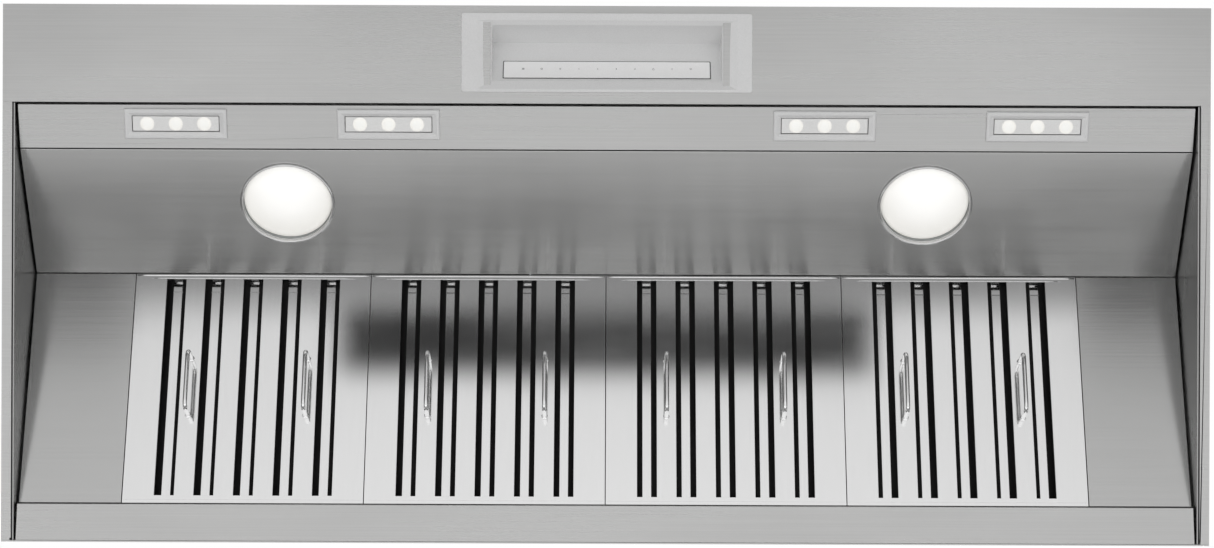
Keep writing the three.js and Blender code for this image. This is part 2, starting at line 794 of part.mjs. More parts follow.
// ---- duct collar and damper -------------------------------------------------------------------------------
function ductCollar() {
  const half = adapterHalfWidth;
  const rear = scrollOuter + scrollSheet;
  const box = block([-scrollHalfWidth, scrollHalfWidth], [-half, rear], [adapterZ, collarZ]);
  const room = block(
    [-scrollHalfWidth + sheet, scrollHalfWidth - sheet],
    [-half + sheet, rear - sheet],
    [adapterZ - past, collarZ - sheet],
  );
  const plate = block([-half, half], [-half, rear], [collarZ - sheet, collarZ]);
  const collarTop = collarZ + collarHeight;
  const pipe = cylinder(ductRadius, [collarZ - weld, collarTop], 40);
  const bore = cylinder(ductRadius - sheet, [collarZ - 2 * past, collarTop + past], 40);
  return cut(join(cut(join(box, plate), room), pipe), bore);
}

// Two half-round flaps on one rod; their knuckles alternate along it.
function damperFlap(side) {
  const radius = ductRadius - sheet - flapClearance;
  const rollRadius = rodRadius + gap + knuckleWall;
  const pitch = ductRadius * knuckleShare;
  const disc = cylinder(radius, [-flapSheet / 2, flapSheet / 2], 28);
  const half = common(disc, block([-ductRadius, ductRadius], [rollRadius + gap, ductRadius], [-past, past]));
  const knuckles = [-2, 0, 2].flatMap((i) => {
    const middle = (i + 0.5) * pitch;
    const span = [middle - pitch / 2 + weld, middle + pitch / 2 - weld];
    const roll = cylinder(rollRadius, span, 12).rotateY(Math.PI / 2);
    const web = block(span, [0, rollRadius + 2 * weld], [-flapSheet / 2, flapSheet / 2]);
    return [roll, web];
  });
  const bore = cylinder(rodRadius + gap, [-ductRadius, ductRadius], 12).rotateY(Math.PI / 2);
  const flap = cut(join(half, ...knuckles), bore);
  return side > 0 ? flap : flap.rotateZ(Math.PI);
}

function addDamper(hood) {
  part(hood, 'duct_collar', ductCollar(), galvanised());
  const centre = subAssembly(hood, 0, 0, rodZ);
  const rodHalf = ductRadius - sheet - gap;
  part(centre, 'damper_rod', cylinder(rodRadius, [-rodHalf, rodHalf], 12).rotateY(Math.PI / 2), galvanised());
  part(centre, 'damper_flap_rear', damperFlap(1), galvanised());
  part(centre, 'damper_flap_front', damperFlap(-1), galvanised());
}

// ---- support and chimney ----------------------------------------------------------------------------------
function rectTube(width, depth, wall, [z0, z1]) {
  const innerX = width / 2 - wall;
  const innerY = depth / 2 - wall;
  return cut(
    block([-width / 2, width / 2], [-depth / 2, depth / 2], [z0, z1]),
    block([-innerX, innerX], [-innerY, innerY], [z0 - past, z1 + past]),
  );
}

const coverStep = 2 * (chimneySheet + coverClearance);
const upperCoverWidth = chimneyWidth - coverStep;
const upperCoverDepth = chimneyDepth - coverStep;
const plateHalfX = upperCoverWidth / 2 - chimneySheet - ceilingPlateInset;
const plateHalfY = upperCoverDepth / 2 - chimneySheet - ceilingPlateInset;
const plateZ = hangHeight - ceilingPlateSheet;

function ceilingPlate() {
  const plate = block([-plateHalfX, plateHalfX], [-plateHalfY, plateHalfY], [plateZ, hangHeight]);
  const [slotLength, slotHeight] = boltSlot;
  const bolts = [-1, 1].flatMap((sx) =>
    [-1, 1].map((sy) => {
      const x = sx * (plateHalfX - boltInsetX);
      const y = sy * (plateHalfY - boltInsetY);
      return block(
        [x - slotLength / 2, x + slotLength / 2],
        [y - slotHeight / 2, y + slotHeight / 2],
        [plateZ - past, hangHeight + past],
      );
    }),
  );
  return cut(plate, cylinder(ductHoleRadius, [plateZ - past, hangHeight + past], 40), ...bolts);
}

// Four corner angles tied by a ring at each end.
function postFrame(halfX, halfY, [z0, z1]) {
  const angles = [-1, 1].flatMap((sx) =>
    [-1, 1].map((sy) => {
      const x = [sx * (halfX - postLeg), sx * halfX].sort((a, b) => a - b);
      const y = [sy * (halfY - postLeg), sy * halfY].sort((a, b) => a - b);
      const notchX = [0, sx * (halfX - postSheet)].sort((a, b) => a - b);
      const notchY = [0, sy * (halfY - postSheet)].sort((a, b) => a - b);
      return cut(block(x, y, [z0, z1]), block(notchX, notchY, [z0 - past, z1 + past]));
    }),
  );
  const innerX = halfX - ringWidth;
  const innerY = halfY - ringWidth;
  const ring = (z) =>
    cut(
      block([-halfX, halfX], [-halfY, halfY], [z, z + postSheet]),
      block([-innerX, innerX], [-innerY, innerY], [z - past, z + past]),
    );
  return join(...angles, ring(z0), ring(z1 - postSheet));
}

function addSupport(hood) {
  const outerX = plateHalfX - postInsetX;
  const outerY = plateHalfY - postInsetY;
  const upperFoot = plateZ - upperPostDrop;
  const upper = postFrame(outerX, outerY, [upperFoot, plateZ - gap]);
  const nested = postSheet + gap;
  const lower = postFrame(outerX - nested, outerY - nested, [roofTop + gap, roofTop + lowerPostRise]);
  const passX = outerX - nested + gap;
  const passY = outerY - nested + gap;
  const passage = block([-passX, passX], [-passY, passY], [upperFoot - past, upperFoot + postSheet + weld]);
  const scrollX = scrollHalfWidth + 2 * gap;
  const scrollY = scrollOuter + scrollSheet + gap;
  const scrollPassage = block([-scrollX, scrollX], [-scrollY, scrollY], [roofTop - past, roofTop + past]);
  part(hood, 'ceiling_plate', ceilingPlate(), galvanised());
  part(hood, 'frame_upper', cut(upper, passage), galvanised());
  part(hood, 'frame_lower', cut(lower, scrollPassage), galvanised());
}

function addChimney(hood) {
  const lowerZ = [roofTop + gap, roofTop + gap + lowerCoverHeight];
  const upperZ = [lowerZ[1] - chimneyOverlap, hangHeight - gap];
  part(hood, 'chimney_lower', rectTube(chimneyWidth, chimneyDepth, chimneySheet, lowerZ), brushed());
  part(hood, 'chimney_upper', rectTube(upperCoverWidth, upperCoverDepth, chimneySheet, upperZ), brushed());
}

// ---- electrics --------------------------------------------------------------------------------------------
function addJunctionBox(hood) {
  const x0 = scrollHalfWidth + boxFromScroll;
  const x1 = x0 + boxWidth;
  const y1 = boxLength / 2;
  const roofSlope = (roofTop - bandHeight) / (halfWidth - plateauWidth / 2);
  const underSlope = roofTop - Math.max(0, x1 - plateauWidth / 2) * roofSlope;
  const top = underSlope - 2 * sheet - gap;
  const foot = top - boxHeight;
  const body = cut(
    block([x0, x1], [-y1, y1], [foot, top]),
    block([x0 + boxSheet, x1 - boxSheet], [-y1 + boxSheet, y1 - boxSheet], [foot - past, top - boxSheet]),
  );
  const lid = block([x0, x1], [-y1, y1], [foot - gap - boxSheet, foot - gap]);
  part(hood, 'junction_box', body, galvanised());
  part(hood, 'junction_box_lid', lid, galvanised());
}

// ---- the hood ---------------------------------------------------------------------------------------------
const object = new THREE.Group();
const hood = subAssembly(object, 0, 0, -hangHeight);
part(hood, 'canopy_shell', canopyShell(), brushed());
part(hood, 'side_liner_left', sideLiner(-1), brushed());
part(hood, 'side_liner_right', sideLiner(1), brushed());
part(hood, 'rear_rail', rearRail(), brushed());
part(hood, 'grease_channel', greaseChannel(), brushed());
part(subAssembly(hood, 0, lightPanelY, lightPanelFront, lightSlope), 'light_panel', lightPanel(), brushed());
part(subAssembly(hood, 0, lampPanelY, lightPanelRear, lampSlope), 'lamp_panel', lampPanel(), brushed());
const filterPlane = subAssembly(hood, 0, apexY, apexHeight, -filterSlope);
part(filterPlane, 'filler_panel_left', fillerPanel(-1), brushed());
part(filterPlane, 'filler_panel_right', fillerPanel(1), brushed());
for (let i = 0; i < filterCount; i += 1) addFilter(hood, i);
addHeatLamp(hood, -1);
addHeatLamp(hood, 1);
lightBarX.forEach((x, i) => addLightBar(hood, x, i));
addControls(hood);
addBlower(hood);
addDamper(hood);
addSupport(hood);
addChimney(hood);
addJunctionBox(hood);

export default object;
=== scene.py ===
"""Island range hood, seen as a finished product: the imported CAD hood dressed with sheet-metal edges, brushed
steel, bent-wire filter handles, lit lamps and the touch controls. Metres, in the CAD frame."""

import json
import math

import bmesh
import bpy
from mathutils import Matrix, Vector


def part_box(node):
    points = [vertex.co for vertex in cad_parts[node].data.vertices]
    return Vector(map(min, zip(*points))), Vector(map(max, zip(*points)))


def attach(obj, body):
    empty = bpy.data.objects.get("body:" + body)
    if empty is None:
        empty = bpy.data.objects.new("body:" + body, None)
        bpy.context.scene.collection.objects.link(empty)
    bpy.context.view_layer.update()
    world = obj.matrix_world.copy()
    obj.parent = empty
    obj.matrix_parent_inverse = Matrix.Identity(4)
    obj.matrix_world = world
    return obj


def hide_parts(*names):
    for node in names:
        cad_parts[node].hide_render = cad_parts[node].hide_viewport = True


bl_info = {
    "name": "Island Range Hood",
    "version": (1, 0, 0),
    "blender": (4, 5, 0),
    "location": "3D View > Sidebar > Range Hood",
    "description": "Finishes and details of a ceiling-hung stainless range hood",
    "category": "Object",
}

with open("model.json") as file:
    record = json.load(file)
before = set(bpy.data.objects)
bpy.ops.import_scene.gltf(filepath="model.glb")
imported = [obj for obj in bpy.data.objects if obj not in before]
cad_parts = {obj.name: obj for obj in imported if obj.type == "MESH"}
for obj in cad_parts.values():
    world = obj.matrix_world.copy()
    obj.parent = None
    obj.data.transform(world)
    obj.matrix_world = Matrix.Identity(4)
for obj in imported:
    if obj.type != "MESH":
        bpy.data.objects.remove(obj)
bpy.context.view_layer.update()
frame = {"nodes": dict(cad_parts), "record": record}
NODES = frame["nodes"]
BODY_OF = {node: body for body, nodes in frame["record"]["behaviour"]["bodies"].items() for node in nodes}

MM = 0.001
RIM_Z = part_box("canopy_shell")[0].z
FILTERS = [f"filter_{number}" for number in range(1, 5)]
LIGHT_BARS = [f"light_bar_{number}" for number in range(1, 5)]
SIDES = ["left", "right"]
SLOT_PITCH = 45.1 * MM
BAFFLE_NARROWING = 0.85
HANDLE_BEND = 8.5 * MM
HANDLE_FOOT = 2.4 * MM
LENS_RADIUS = 8.0 * MM
LENS_PITCH = 32.4 * MM
POCKET_HEIGHT = 38.0 * MM
MARK_PITCH = 21.2 * MM
MARK_STROKE = 0.32 * MM
DIGIT_HEIGHT = 3.6 * MM
FAINT_MARKS = (4, 8)
COVER_SCREW_DROP = 4.9 * MM
# The way in which the filters' faces reflect a view from straight below.
FILTER_MIRROR = Vector((0.0, -0.678, -0.734))


# ---- settings ---------------------------------------------------------------------------------------------
def steel_colour(name, default, description):
    return bpy.props.FloatVectorProperty(
        name=name, description=description, default=default, subtype="COLOR", size=3, min=0.0, max=1.0
    )


class HoodFinishes(bpy.types.PropertyGroup):
    """Colours and roughness of the hood's finishes."""

    canopy_steel: steel_colour("Canopy steel", (0.60, 0.60, 0.595), "Brushed stainless steel of the canopy")
    filter_steel: steel_colour("Filter steel", (0.96, 0.96, 0.96), "Bright stainless steel of the filters")
    frame_steel: steel_colour("Galvanised steel", (0.50, 0.52, 0.54), "Zinc-coated sheet of the inner pieces")
    trim_grey: steel_colour("Trim grey", (0.90, 0.90, 0.90), "Satin grey of the bezels and the control housing")
    lamp_warm: steel_colour("Lamp colour", (1.0, 0.955, 0.87), "Warm white of the heat lamps and lenses")
    canopy_roughness: bpy.props.FloatProperty(
        name="Canopy roughness", description="Blur of the brushed steel", default=0.28, min=0.0, max=1.0
    )
    filter_roughness: bpy.props.FloatProperty(
        name="Filter roughness", description="Blur of the filters' steel", default=0.075, min=0.0, max=1.0
    )
    lamp_power: bpy.props.FloatProperty(
        name="Lamp power", description="Brightness of the heat lamps' faces", default=0.52, min=0.0, soft_max=10.0
    )
    led_power: bpy.props.FloatProperty(
        name="LED power", description="Brightness of the light bars' lenses", default=0.34, min=0.0, soft_max=10.0
    )


class HoodSizes(bpy.types.PropertyGroup):
    """Sizes of the small shapes that the finished pieces add."""

    sheet_bend: bpy.props.FloatProperty(
        name="Sheet bend", description="Radius of the canopy's folded edges", default=1.1 * MM, unit="LENGTH"
    )
    panel_edge: bpy.props.FloatProperty(
        name="Panel edge", description="Softened edge of the inner panels", default=0.45 * MM, unit="LENGTH"
    )
    handle_wire: bpy.props.FloatProperty(
        name="Handle wire", description="Diameter of the filter handles' wire", default=5.0 * MM, unit="LENGTH"
    )
    seam: bpy.props.FloatProperty(
        name="Seam", description="Width of the joints between the canopy's folded pieces", default=0.8 * MM,
        unit="LENGTH",
    )


class HoodStage(bpy.types.PropertyGroup):
    """Camera, floor and lights."""

    camera_drop: bpy.props.FloatProperty(
        name="Camera drop", description="Distance from the rim down to the camera", default=3.3, unit="LENGTH"
    )
    lens: bpy.props.FloatProperty(name="Lens", description="Focal length in millimetres", default=86.3)
    floor_drop: bpy.props.FloatProperty(
        name="Floor drop", description="Distance from the rim down to the floor", default=4.6, unit="LENGTH"
    )
    world_fill: bpy.props.FloatProperty(
        name="Fill", description="Brightness of the room around the hood", default=0.17, min=0.0
    )


# ---- shader node groups -----------------------------------------------------------------------------------
def new_group(name, inputs, outputs):
    """A shader node group with named sockets. inputs holds (name, kind, default), outputs (name, kind)."""
    group = bpy.data.node_groups.new(name, "ShaderNodeTree")
    for label, kind, default in inputs:
        socket = group.interface.new_socket(name=label, in_out="INPUT", socket_type=kind)
        socket.default_value = default
    for label, kind in outputs:
        group.interface.new_socket(name=label, in_out="OUTPUT", socket_type=kind)
    return group, group.nodes.new("NodeGroupInput"), group.nodes.new("NodeGroupOutput")


def add_node(tree, kind, settings=None, **links):
    """A node with its settings, and its inputs set to a value or linked to a socket."""
    node = tree.nodes.new(kind)
    for key, value in (settings or {}).items():
        setattr(node, key, value)
    for key, value in links.items():
        socket = node.inputs[int(key[1:])] if key[0] == "i" and key[1:].isdigit() else node.inputs[key]
        if isinstance(value, bpy.types.NodeSocket):
            tree.links.new(value, socket)
        else:
            socket.default_value = value
    return node


def build_grain_group():
    """Long fine streaks of brushed sheet: a value to tint with and a height for a bump."""
    group, inside, outside = new_group(
        "brushed_grain",
        [("Stretch", "NodeSocketVector", (4.0, 420.0, 420.0)), ("Contrast", "NodeSocketFloat", 0.5)],
        [("Streaks", "NodeSocketFloat"), ("Height", "NodeSocketFloat")],
    )
    place = add_node(group, "ShaderNodeTexCoord").outputs["Object"]
    scaled = add_node(group, "ShaderNodeMapping", i0=place, i3=inside.outputs["Stretch"]).outputs[0]
    coarse = add_node(group, "ShaderNodeTexNoise", Vector=scaled, Scale=1.0, Detail=3.0, Roughness=0.6)
    doubled = add_node(group, "ShaderNodeVectorMath", {"operation": "SCALE"}, i0=scaled, Scale=3.7).outputs[0]
    fine = add_node(group, "ShaderNodeTexNoise", Vector=doubled, Scale=1.0, Detail=2.0, Roughness=0.5)
    both = add_node(
        group, "ShaderNodeMath", {"operation": "MULTIPLY_ADD"}, i0=fine.outputs[0], i1=0.45, i2=coarse.outputs[0]
    )
    level = add_node(group, "ShaderNodeMath", {"operation": "SUBTRACT"}, i0=both.outputs[0], i1=0.725)
    spread = add_node(
        group, "ShaderNodeMath", {"operation": "MULTIPLY_ADD"}, i0=level.outputs[0],
        i1=inside.outputs["Contrast"], i2=0.5,
    )
    group.links.new(spread.outputs[0], outside.inputs["Streaks"])
    group.links.new(both.outputs[0], outside.inputs["Height"])
    return group


def build_smudge_group():
    """Broad soft clouds, as hands and cleaning leave on steel."""
    group, inside, outside = new_group(
        "handling_smudges",
        [("Size", "NodeSocketFloat", 5.0), ("Amount", "NodeSocketFloat", 0.5)],
        [("Smudges", "NodeSocketFloat")],
    )
    place = add_node(group, "ShaderNodeTexCoord").outputs["Object"]
    stretched = add_node(group, "ShaderNodeMapping", i0=place, i3=(0.6, 1.6, 1.6)).outputs[0]
    cloud = add_node(
        group, "ShaderNodeTexNoise", Vector=stretched, Scale=inside.outputs["Size"], Detail=4.0, Roughness=0.55
    )
    eased = add_node(
        group, "ShaderNodeMapRange", {"interpolation_type": "SMOOTHSTEP"},
        Value=cloud.outputs[0], i1=0.38, i2=0.68,
    )
    scaled = add_node(
        group, "ShaderNodeMath", {"operation": "MULTIPLY"}, i0=eased.outputs[0], i1=inside.outputs["Amount"]
    )
    group.links.new(scaled.outputs[0], outside.inputs["Smudges"])
    return group


def build_speckle_group():
    """Small-scale speckle of a moulded, painted or cast face."""
    group, inside, outside = new_group(
        "fine_speckle",
        [("Scale", "NodeSocketFloat", 900.0)],
        [("Speckle", "NodeSocketFloat"), ("Height", "NodeSocketFloat")],
    )
    place = add_node(group, "ShaderNodeTexCoord").outputs["Object"]
    noise = add_node(
        group, "ShaderNodeTexNoise", Vector=place, Scale=inside.outputs["Scale"], Detail=3.0, Roughness=0.7
    )
    soft = add_node(group, "ShaderNodeMapRange", Value=noise.outputs[0], i1=0.3, i2=0.7)
    group.links.new(soft.outputs[0], outside.inputs["Speckle"])
    group.links.new(noise.outputs[0], outside.inputs["Height"])
    return group


GROUPS = {}


def effect(tree, name, **inputs):
    """An instance of a shared node group with its own values."""
    node = tree.nodes.new("ShaderNodeGroup")
    node.node_tree = GROUPS[name]
    for key, value in inputs.items():
        node.inputs[key].default_value = value
    return node


# ---- materials --------------------------------------------------------------------------------------------
MATERIALS = {}


def new_material(name, **sockets):
    """A Principled material with constant values on its own sockets."""
    material = bpy.data.materials.new(name)
    material.use_nodes = True
    tree = material.node_tree
    shader = tree.nodes["Principled BSDF"]
    for key, value in sockets.items():
        shader.inputs[key.replace("_", " ")].default_value = value
    MATERIALS[name] = material
    return tree, shader


def tint(tree, mask, dark, light):
    """A colour that runs from dark to light with a mask."""
    mix = add_node(tree, "ShaderNodeMix", {"data_type": "RGBA"})
    tree.links.new(mask, mix.inputs[0])
    mix.inputs[6].default_value = (*dark, 1.0)
    mix.inputs[7].default_value = (*light, 1.0)
    return mix.outputs[2]


def scaled_colour(colour, factor):
    return tuple(min(1.0, channel * factor) for channel in colour)


def vary(tree, mask, low, high):
    """A value that runs from low to high with a mask."""
    ranged = add_node(tree, "ShaderNodeMapRange", i3=low, i4=high)
    tree.links.new(mask, ranged.inputs[0])
    return ranged.outputs[0]


def bumped(tree, shader, height, strength, distance):
    bump = add_node(tree, "ShaderNodeBump", Height=height, Strength=strength, Distance=distance)
    tree.links.new(bump.outputs[0], shader.inputs["Normal"])


def steel(name, colour, roughness, stretch, contrast, streak_bump, anisotropy, tangent):
    """Brushed stainless: streaked colour and roughness, soft smudges, and a groove bump along the grain."""
    tree, shader = new_material(name, Metallic=1.0, Anisotropic=anisotropy)
    grain = effect(tree, "brushed_grain", Stretch=stretch, Contrast=contrast)
    smudges = effect(tree, "handling_smudges", Size=4.0, Amount=0.7)
    streaks = grain.outputs["Streaks"]
    tree.links.new(
        tint(tree, streaks, scaled_colour(colour, 0.86), scaled_colour(colour, 1.12)), shader.inputs["Base Color"]
    )
    streaked = vary(tree, streaks, roughness * 0.8, roughness * 1.2)
    rough = add_node(
        tree, "ShaderNodeMath", {"operation": "MULTIPLY_ADD"}, i0=smudges.outputs[0], i1=0.06, i2=streaked
    )
    tree.links.new(rough.outputs[0], shader.inputs["Roughness"])
    direction = add_node(tree, "ShaderNodeCombineXYZ", X=tangent[0], Y=tangent[1], Z=tangent[2])
    tree.links.new(direction.outputs[0], shader.inputs["Tangent"])
    bumped(tree, shader, grain.outputs["Height"], streak_bump, 0.0003)


def speckled(name, colour, roughness, bump, scale=900.0, **sockets):
    """A painted, moulded or cast finish with a fine speckle."""
    tree, shader = new_material(name, **sockets)
    speckle = effect(tree, "fine_speckle", Scale=scale)
    smudges = effect(tree, "handling_smudges", Size=9.0, Amount=1.0)
    tree.links.new(
        tint(tree, speckle.outputs["Speckle"], scaled_colour(colour, 0.94), scaled_colour(colour, 1.04)),
        shader.inputs["Base Color"],
    )
    tree.links.new(
        vary(tree, smudges.outputs[0], roughness * 0.85, min(1.0, roughness * 1.2)), shader.inputs["Roughness"]
    )
    bumped(tree, shader, speckle.outputs["Height"], bump, 0.0001)


def glowing(name, colour, edge_colour, power, radius, centre, speckle_scale):
    """A lit frosted face whose colour runs to edge_colour between two distances from centre."""
    tree, shader = new_material(name, Roughness=0.28, Emission_Strength=power, Coat_Weight=0.4)
    place = add_node(tree, "ShaderNodeUVMap", {"uv_map": "glow"}).outputs[0]
    distance = add_node(tree, "ShaderNodeVectorMath", {"operation": "DISTANCE"}, i0=place, i1=centre)
    mask = add_node(
        tree, "ShaderNodeMapRange", {"interpolation_type": "SMOOTHSTEP"},
        i1=radius[0], i2=radius[1],
    )
    tree.links.new(distance.outputs["Value"], mask.inputs[0])
    speckle = effect(tree, "fine_speckle", Scale=speckle_scale)
    tree.links.new(tint(tree, mask.outputs[0], colour, edge_colour), shader.inputs["Emission Color"])
    tree.links.new(
        tint(tree, speckle.outputs["Speckle"], scaled_colour(colour, 0.9), colour), shader.inputs["Base Color"]
    )
    bumped(tree, shader, speckle.outputs["Height"], 0.05, 0.0001)


def build_materials(finish):
    GROUPS["brushed_grain"] = build_grain_group()
    GROUPS["handling_smudges"] = build_smudge_group()
    GROUPS["fine_speckle"] = build_speckle_group()
    canopy = tuple(finish.canopy_steel)
    bright = tuple(finish.filter_steel)
    zinc = tuple(finish.frame_steel)
    grey = tuple(finish.trim_grey)
    warm = tuple(finish.lamp_warm)
    across_grain = (0.0, 0.45, 0.9)
    down_slope = (0.02, 0.93, -0.36)
    lengthwise = (3.0, 520.0, 520.0)
    steel("canopy_steel", canopy, finish.canopy_roughness, lengthwise, 0.75, 0.10, 0.95, across_grain)
    steel("panel_steel", canopy, 0.17, lengthwise, 0.6, 0.05, 0.92, across_grain)
    # painted shade: the side liners get the canopy steel darkened to 55 percent, for the shade on the hood's
    # inner side walls
    steel("shaded_liner_steel", scaled_colour(canopy, 0.55), 0.26, (520.0, 3.0, 520.0), 0.6, 0.05, 0.6, across_grain)
    steel("filler_steel", canopy, 0.17, lengthwise, 0.6, 0.05, 0.6, across_grain)
    # painted highlight: the softened folded edges get the canopy steel lightened 1.3 times and made smoother
    steel("bend_highlight_steel", scaled_colour(canopy, 1.3), 0.16, (3.0, 300.0, 300.0), 0.3, 0.04, 0.3, across_grain)
    steel(
        "chimney_steel", canopy, finish.canopy_roughness, (520.0, 520.0, 3.0), 0.75, 0.10, 0.8, (0.7, 0.7, 0.01)
    )
    steel("filter_steel", bright, finish.filter_roughness, (260.0, 5.0, 60.0), 0.30, 0.003, 0.2, down_slope)
    steel("filter_edge", (0.9, 0.9, 0.9), 0.12, (200.0, 5.0, 60.0), 0.2, 0.02, 0.2, down_slope)
    speckled("wire_steel", (0.95, 0.95, 0.95), 0.10, 0.01, Metallic=1.0)
    speckled("galvanised", zinc, 0.42, 0.15, scale=70.0, Metallic=1.0)
    speckled("ring_chrome", (0.78, 0.78, 0.78), 0.16, 0.02, Metallic=1.0)
    speckled("trim_grey", grey, 0.42, 0.08, Metallic=0.1)
    speckled("slot_shade", (0.05, 0.05, 0.05), 0.45, 0.05, Metallic=0.6)
    # painted light: the touch strip's face has a faint white emission that brightens it, though it is no lamp
    speckled(
        "touch_face_painted_glow", scaled_colour(grey, 1.06), 0.25, 0.02, Coat_Weight=0.4, Emission_Color=(1.0, 1.0, 1.0, 1.0),
        Emission_Strength=0.10,
    )
    speckled("touch_ink", (0.10, 0.10, 0.105), 0.4, 0.02)
    speckled("touch_ink_faint", (0.42, 0.42, 0.42), 0.4, 0.02)
    # painted shade: near-black for the gap round the touch strip
    speckled("gap_painted_shade", (0.02, 0.02, 0.02), 0.7, 0.1)
    speckled("lamp_ceramic", (0.80, 0.78, 0.72), 0.3, 0.1, Coat_Weight=0.4)
    speckled("board_green", (0.03, 0.16, 0.07), 0.45, 0.2, scale=400.0)
    speckled("motor_paint", (0.05, 0.05, 0.055), 0.5, 0.4, scale=500.0)
    # painted light: the light bar's body has a faint white emission that brightens it; only its lenses are lamps
    speckled(
        "led_bar_painted_glow", (0.92, 0.92, 0.91), 0.3, 0.05, Coat_Weight=0.3, Emission_Color=(1.0, 1.0, 1.0, 1.0),
        Emission_Strength=0.07,
    )
    edge = (0.66, 0.64, 0.59)
    glowing("lamp_glass", (1.0, 0.995, 0.975), edge, finish.lamp_power, (0.25, 1.25), (0.0, -0.32, 0.0), 300.0)
    glowing("led_lens", (1.0, 1.0, 0.97), warm, finish.led_power, (0.30, 1.0), (0.0, 0.0, 0.0), 900.0)


# ---- meshes -----------------------------------------------------------------------------------------------
def tidy_mesh(bm):
    bmesh.ops.remove_doubles(bm, verts=bm.verts, dist=0.02 * MM)
    bmesh.ops.recalc_face_normals(bm, faces=bm.faces)


def mesh_of(bm, name):
    mesh = bpy.data.meshes.new(name)
    bm.to_mesh(mesh)
    bm.free()
    return mesh


def skin_mesh(bm, name, matrix=Matrix.Identity(4)):
    """The mesh of bm with its faces turned outward, placed by matrix."""
    bmesh.ops.recalc_face_normals(bm, faces=bm.faces)
    bm.transform(matrix)
    return mesh_of(bm, name)


def join_loops(bm, loops):
    """Faces between each loop of vertices and the next."""
    for first, second in zip(loops, loops[1:]):
        for k in range(len(first)):
            n = (k + 1) % len(first)
            bm.faces.new((first[k], first[n], second[n], second[k]))


def placed(name, data):
    """A new object in the scene."""
    made = bpy.data.objects.new(name, data)
    bpy.context.scene.collection.objects.link(made)
    return made


def cad_mesh(node):
    """The CAD node's shape with its flat faces whole again."""
    bm = bmesh.new()
    bm.from_mesh(NODES[node].data)
    tidy_mesh(bm)
    bmesh.ops.dissolve_limit(
        bm, angle_limit=math.radians(0.5), verts=bm.verts, edges=bm.edges, delimit={"NORMAL"}
    )
    return mesh_of(bm, node)


def finish_piece(name, mesh, body, materials, bevel=0.0, segments=2, angle=28.0, node=None):
    """Makes mesh a piece of the hood: its materials, the last of them on its softened edges, its body, and the
    node that it stands for."""
    finishes = [polygon.material_index for polygon in mesh.polygons]
    mesh.materials.clear()
    for material in materials:
        mesh.materials.append(MATERIALS[material])
    for polygon, finish in zip(mesh.polygons, finishes):
        polygon.use_smooth = True
        polygon.material_index = finish
    piece = placed(name, mesh)
    if bevel:
        modifier = piece.modifiers.new("softened_edges", "BEVEL")
        modifier.width = bevel
        modifier.segments = segments
        modifier.limit_method = "ANGLE"
        modifier.angle_limit = math.radians(angle)
        modifier.use_clamp_overlap = True
        modifier.miter_outer = "MITER_ARC"
        modifier.material = len(materials) - 1
        weighted = piece.modifiers.new("flat_faces", "WEIGHTED_NORMAL")
        weighted.weight = 90
    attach(piece, body)
    if node:
        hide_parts(node)


def dress(node, name, materials, edge):
    """The CAD node's own shape as a finished piece."""
    finish_piece(name, cad_mesh(node), BODY_OF[node], materials, edge, node=node)


def carved(mesh, cutters):
    """mesh with the cutters' volume taken away."""
    made = [placed(f"carving_{index}", source) for index, source in enumerate([mesh, *cutters])]
    body = made[0]
    for cutter in made[1:]:
        modifier = body.modifiers.new("cut", "BOOLEAN")
        modifier.operation = "DIFFERENCE"
        modifier.solver = "MANIFOLD"
        modifier.object = cutter
    result = bpy.data.meshes.new_from_object(body.evaluated_get(bpy.context.evaluated_depsgraph_get()))
    for thing in made:
        bpy.data.objects.remove(thing)
    return result


def box_mesh(boxes, matrix=Matrix.Identity(4)):
    """One mesh of separate boxes, each given by its low and high corner in matrix's frame."""
    bm = bmesh.new()
    for low, high in boxes:
        size = Vector(high) - Vector(low)
        middle = (Vector(high) + Vector(low)) / 2
        place = matrix @ Matrix.Translation(middle) @ Matrix.Diagonal((*size, 1.0))
        bmesh.ops.create_cube(bm, size=1.0, matrix=place)
    return mesh_of(bm, "boxes")


def turned_mesh(name, profile, sides, matrix, glow_radius=0.0, ring=False):
    """A profile of (radius, height) turned about matrix's Z axis: a ring, or closed where its radius is zero."""
    bm = bmesh.new()
    glow = bm.loops.layers.uv.new("glow") if glow_radius else None
    rings = []
    for radius, height in profile:
        if radius < 1e-7:
            rings.append([bm.verts.new((0.0, 0.0, height))])
            continue
        turn = [2 * math.pi * i / sides for i in range(sides)]
        rings.append([bm.verts.new((radius * math.cos(t), radius * math.sin(t), height)) for t in turn])
    if ring:
        rings.append(rings[0])
    for lower, upper in zip(rings, rings[1:]):
        for i in range(sides):
            j = (i + 1) % sides
            corners = [lower[i % len(lower)], lower[j % len(lower)], upper[j % len(upper)], upper[i % len(upper)]]
            corners = list(dict.fromkeys(corners))
            if len(corners) > 2:
                bm.faces.new(corners)
    if glow:
        for face in bm.faces:
            for loop in face.loops:
                loop[glow].uv = loop.vert.co.xy / glow_radius
    return skin_mesh(bm, name, matrix)


def swept_mesh(name, path, radii, sides, matrix):
    """A round wire along path, with a radius at each point and rounded ends."""
    bm = bmesh.new()
    points = [Vector(p) for p in path]
    rings = []
    side = Vector((1.0, 0.0, 0.0))
    for i, point in enumerate(points):
        ahead = points[min(i + 1, len(points) - 1)] - points[max(i - 1, 0)]
        up = ahead.normalized().cross(side).normalized()
        turn = [2 * math.pi * k / sides for k in range(sides)]
        rings.append([bm.verts.new(point + radii[i] * (math.cos(t) * side + math.sin(t) * up)) for t in turn])
    join_loops(bm, rings)
    bm.faces.new(rings[0])
    bm.faces.new(rings[-1])
    return skin_mesh(bm, name, matrix)


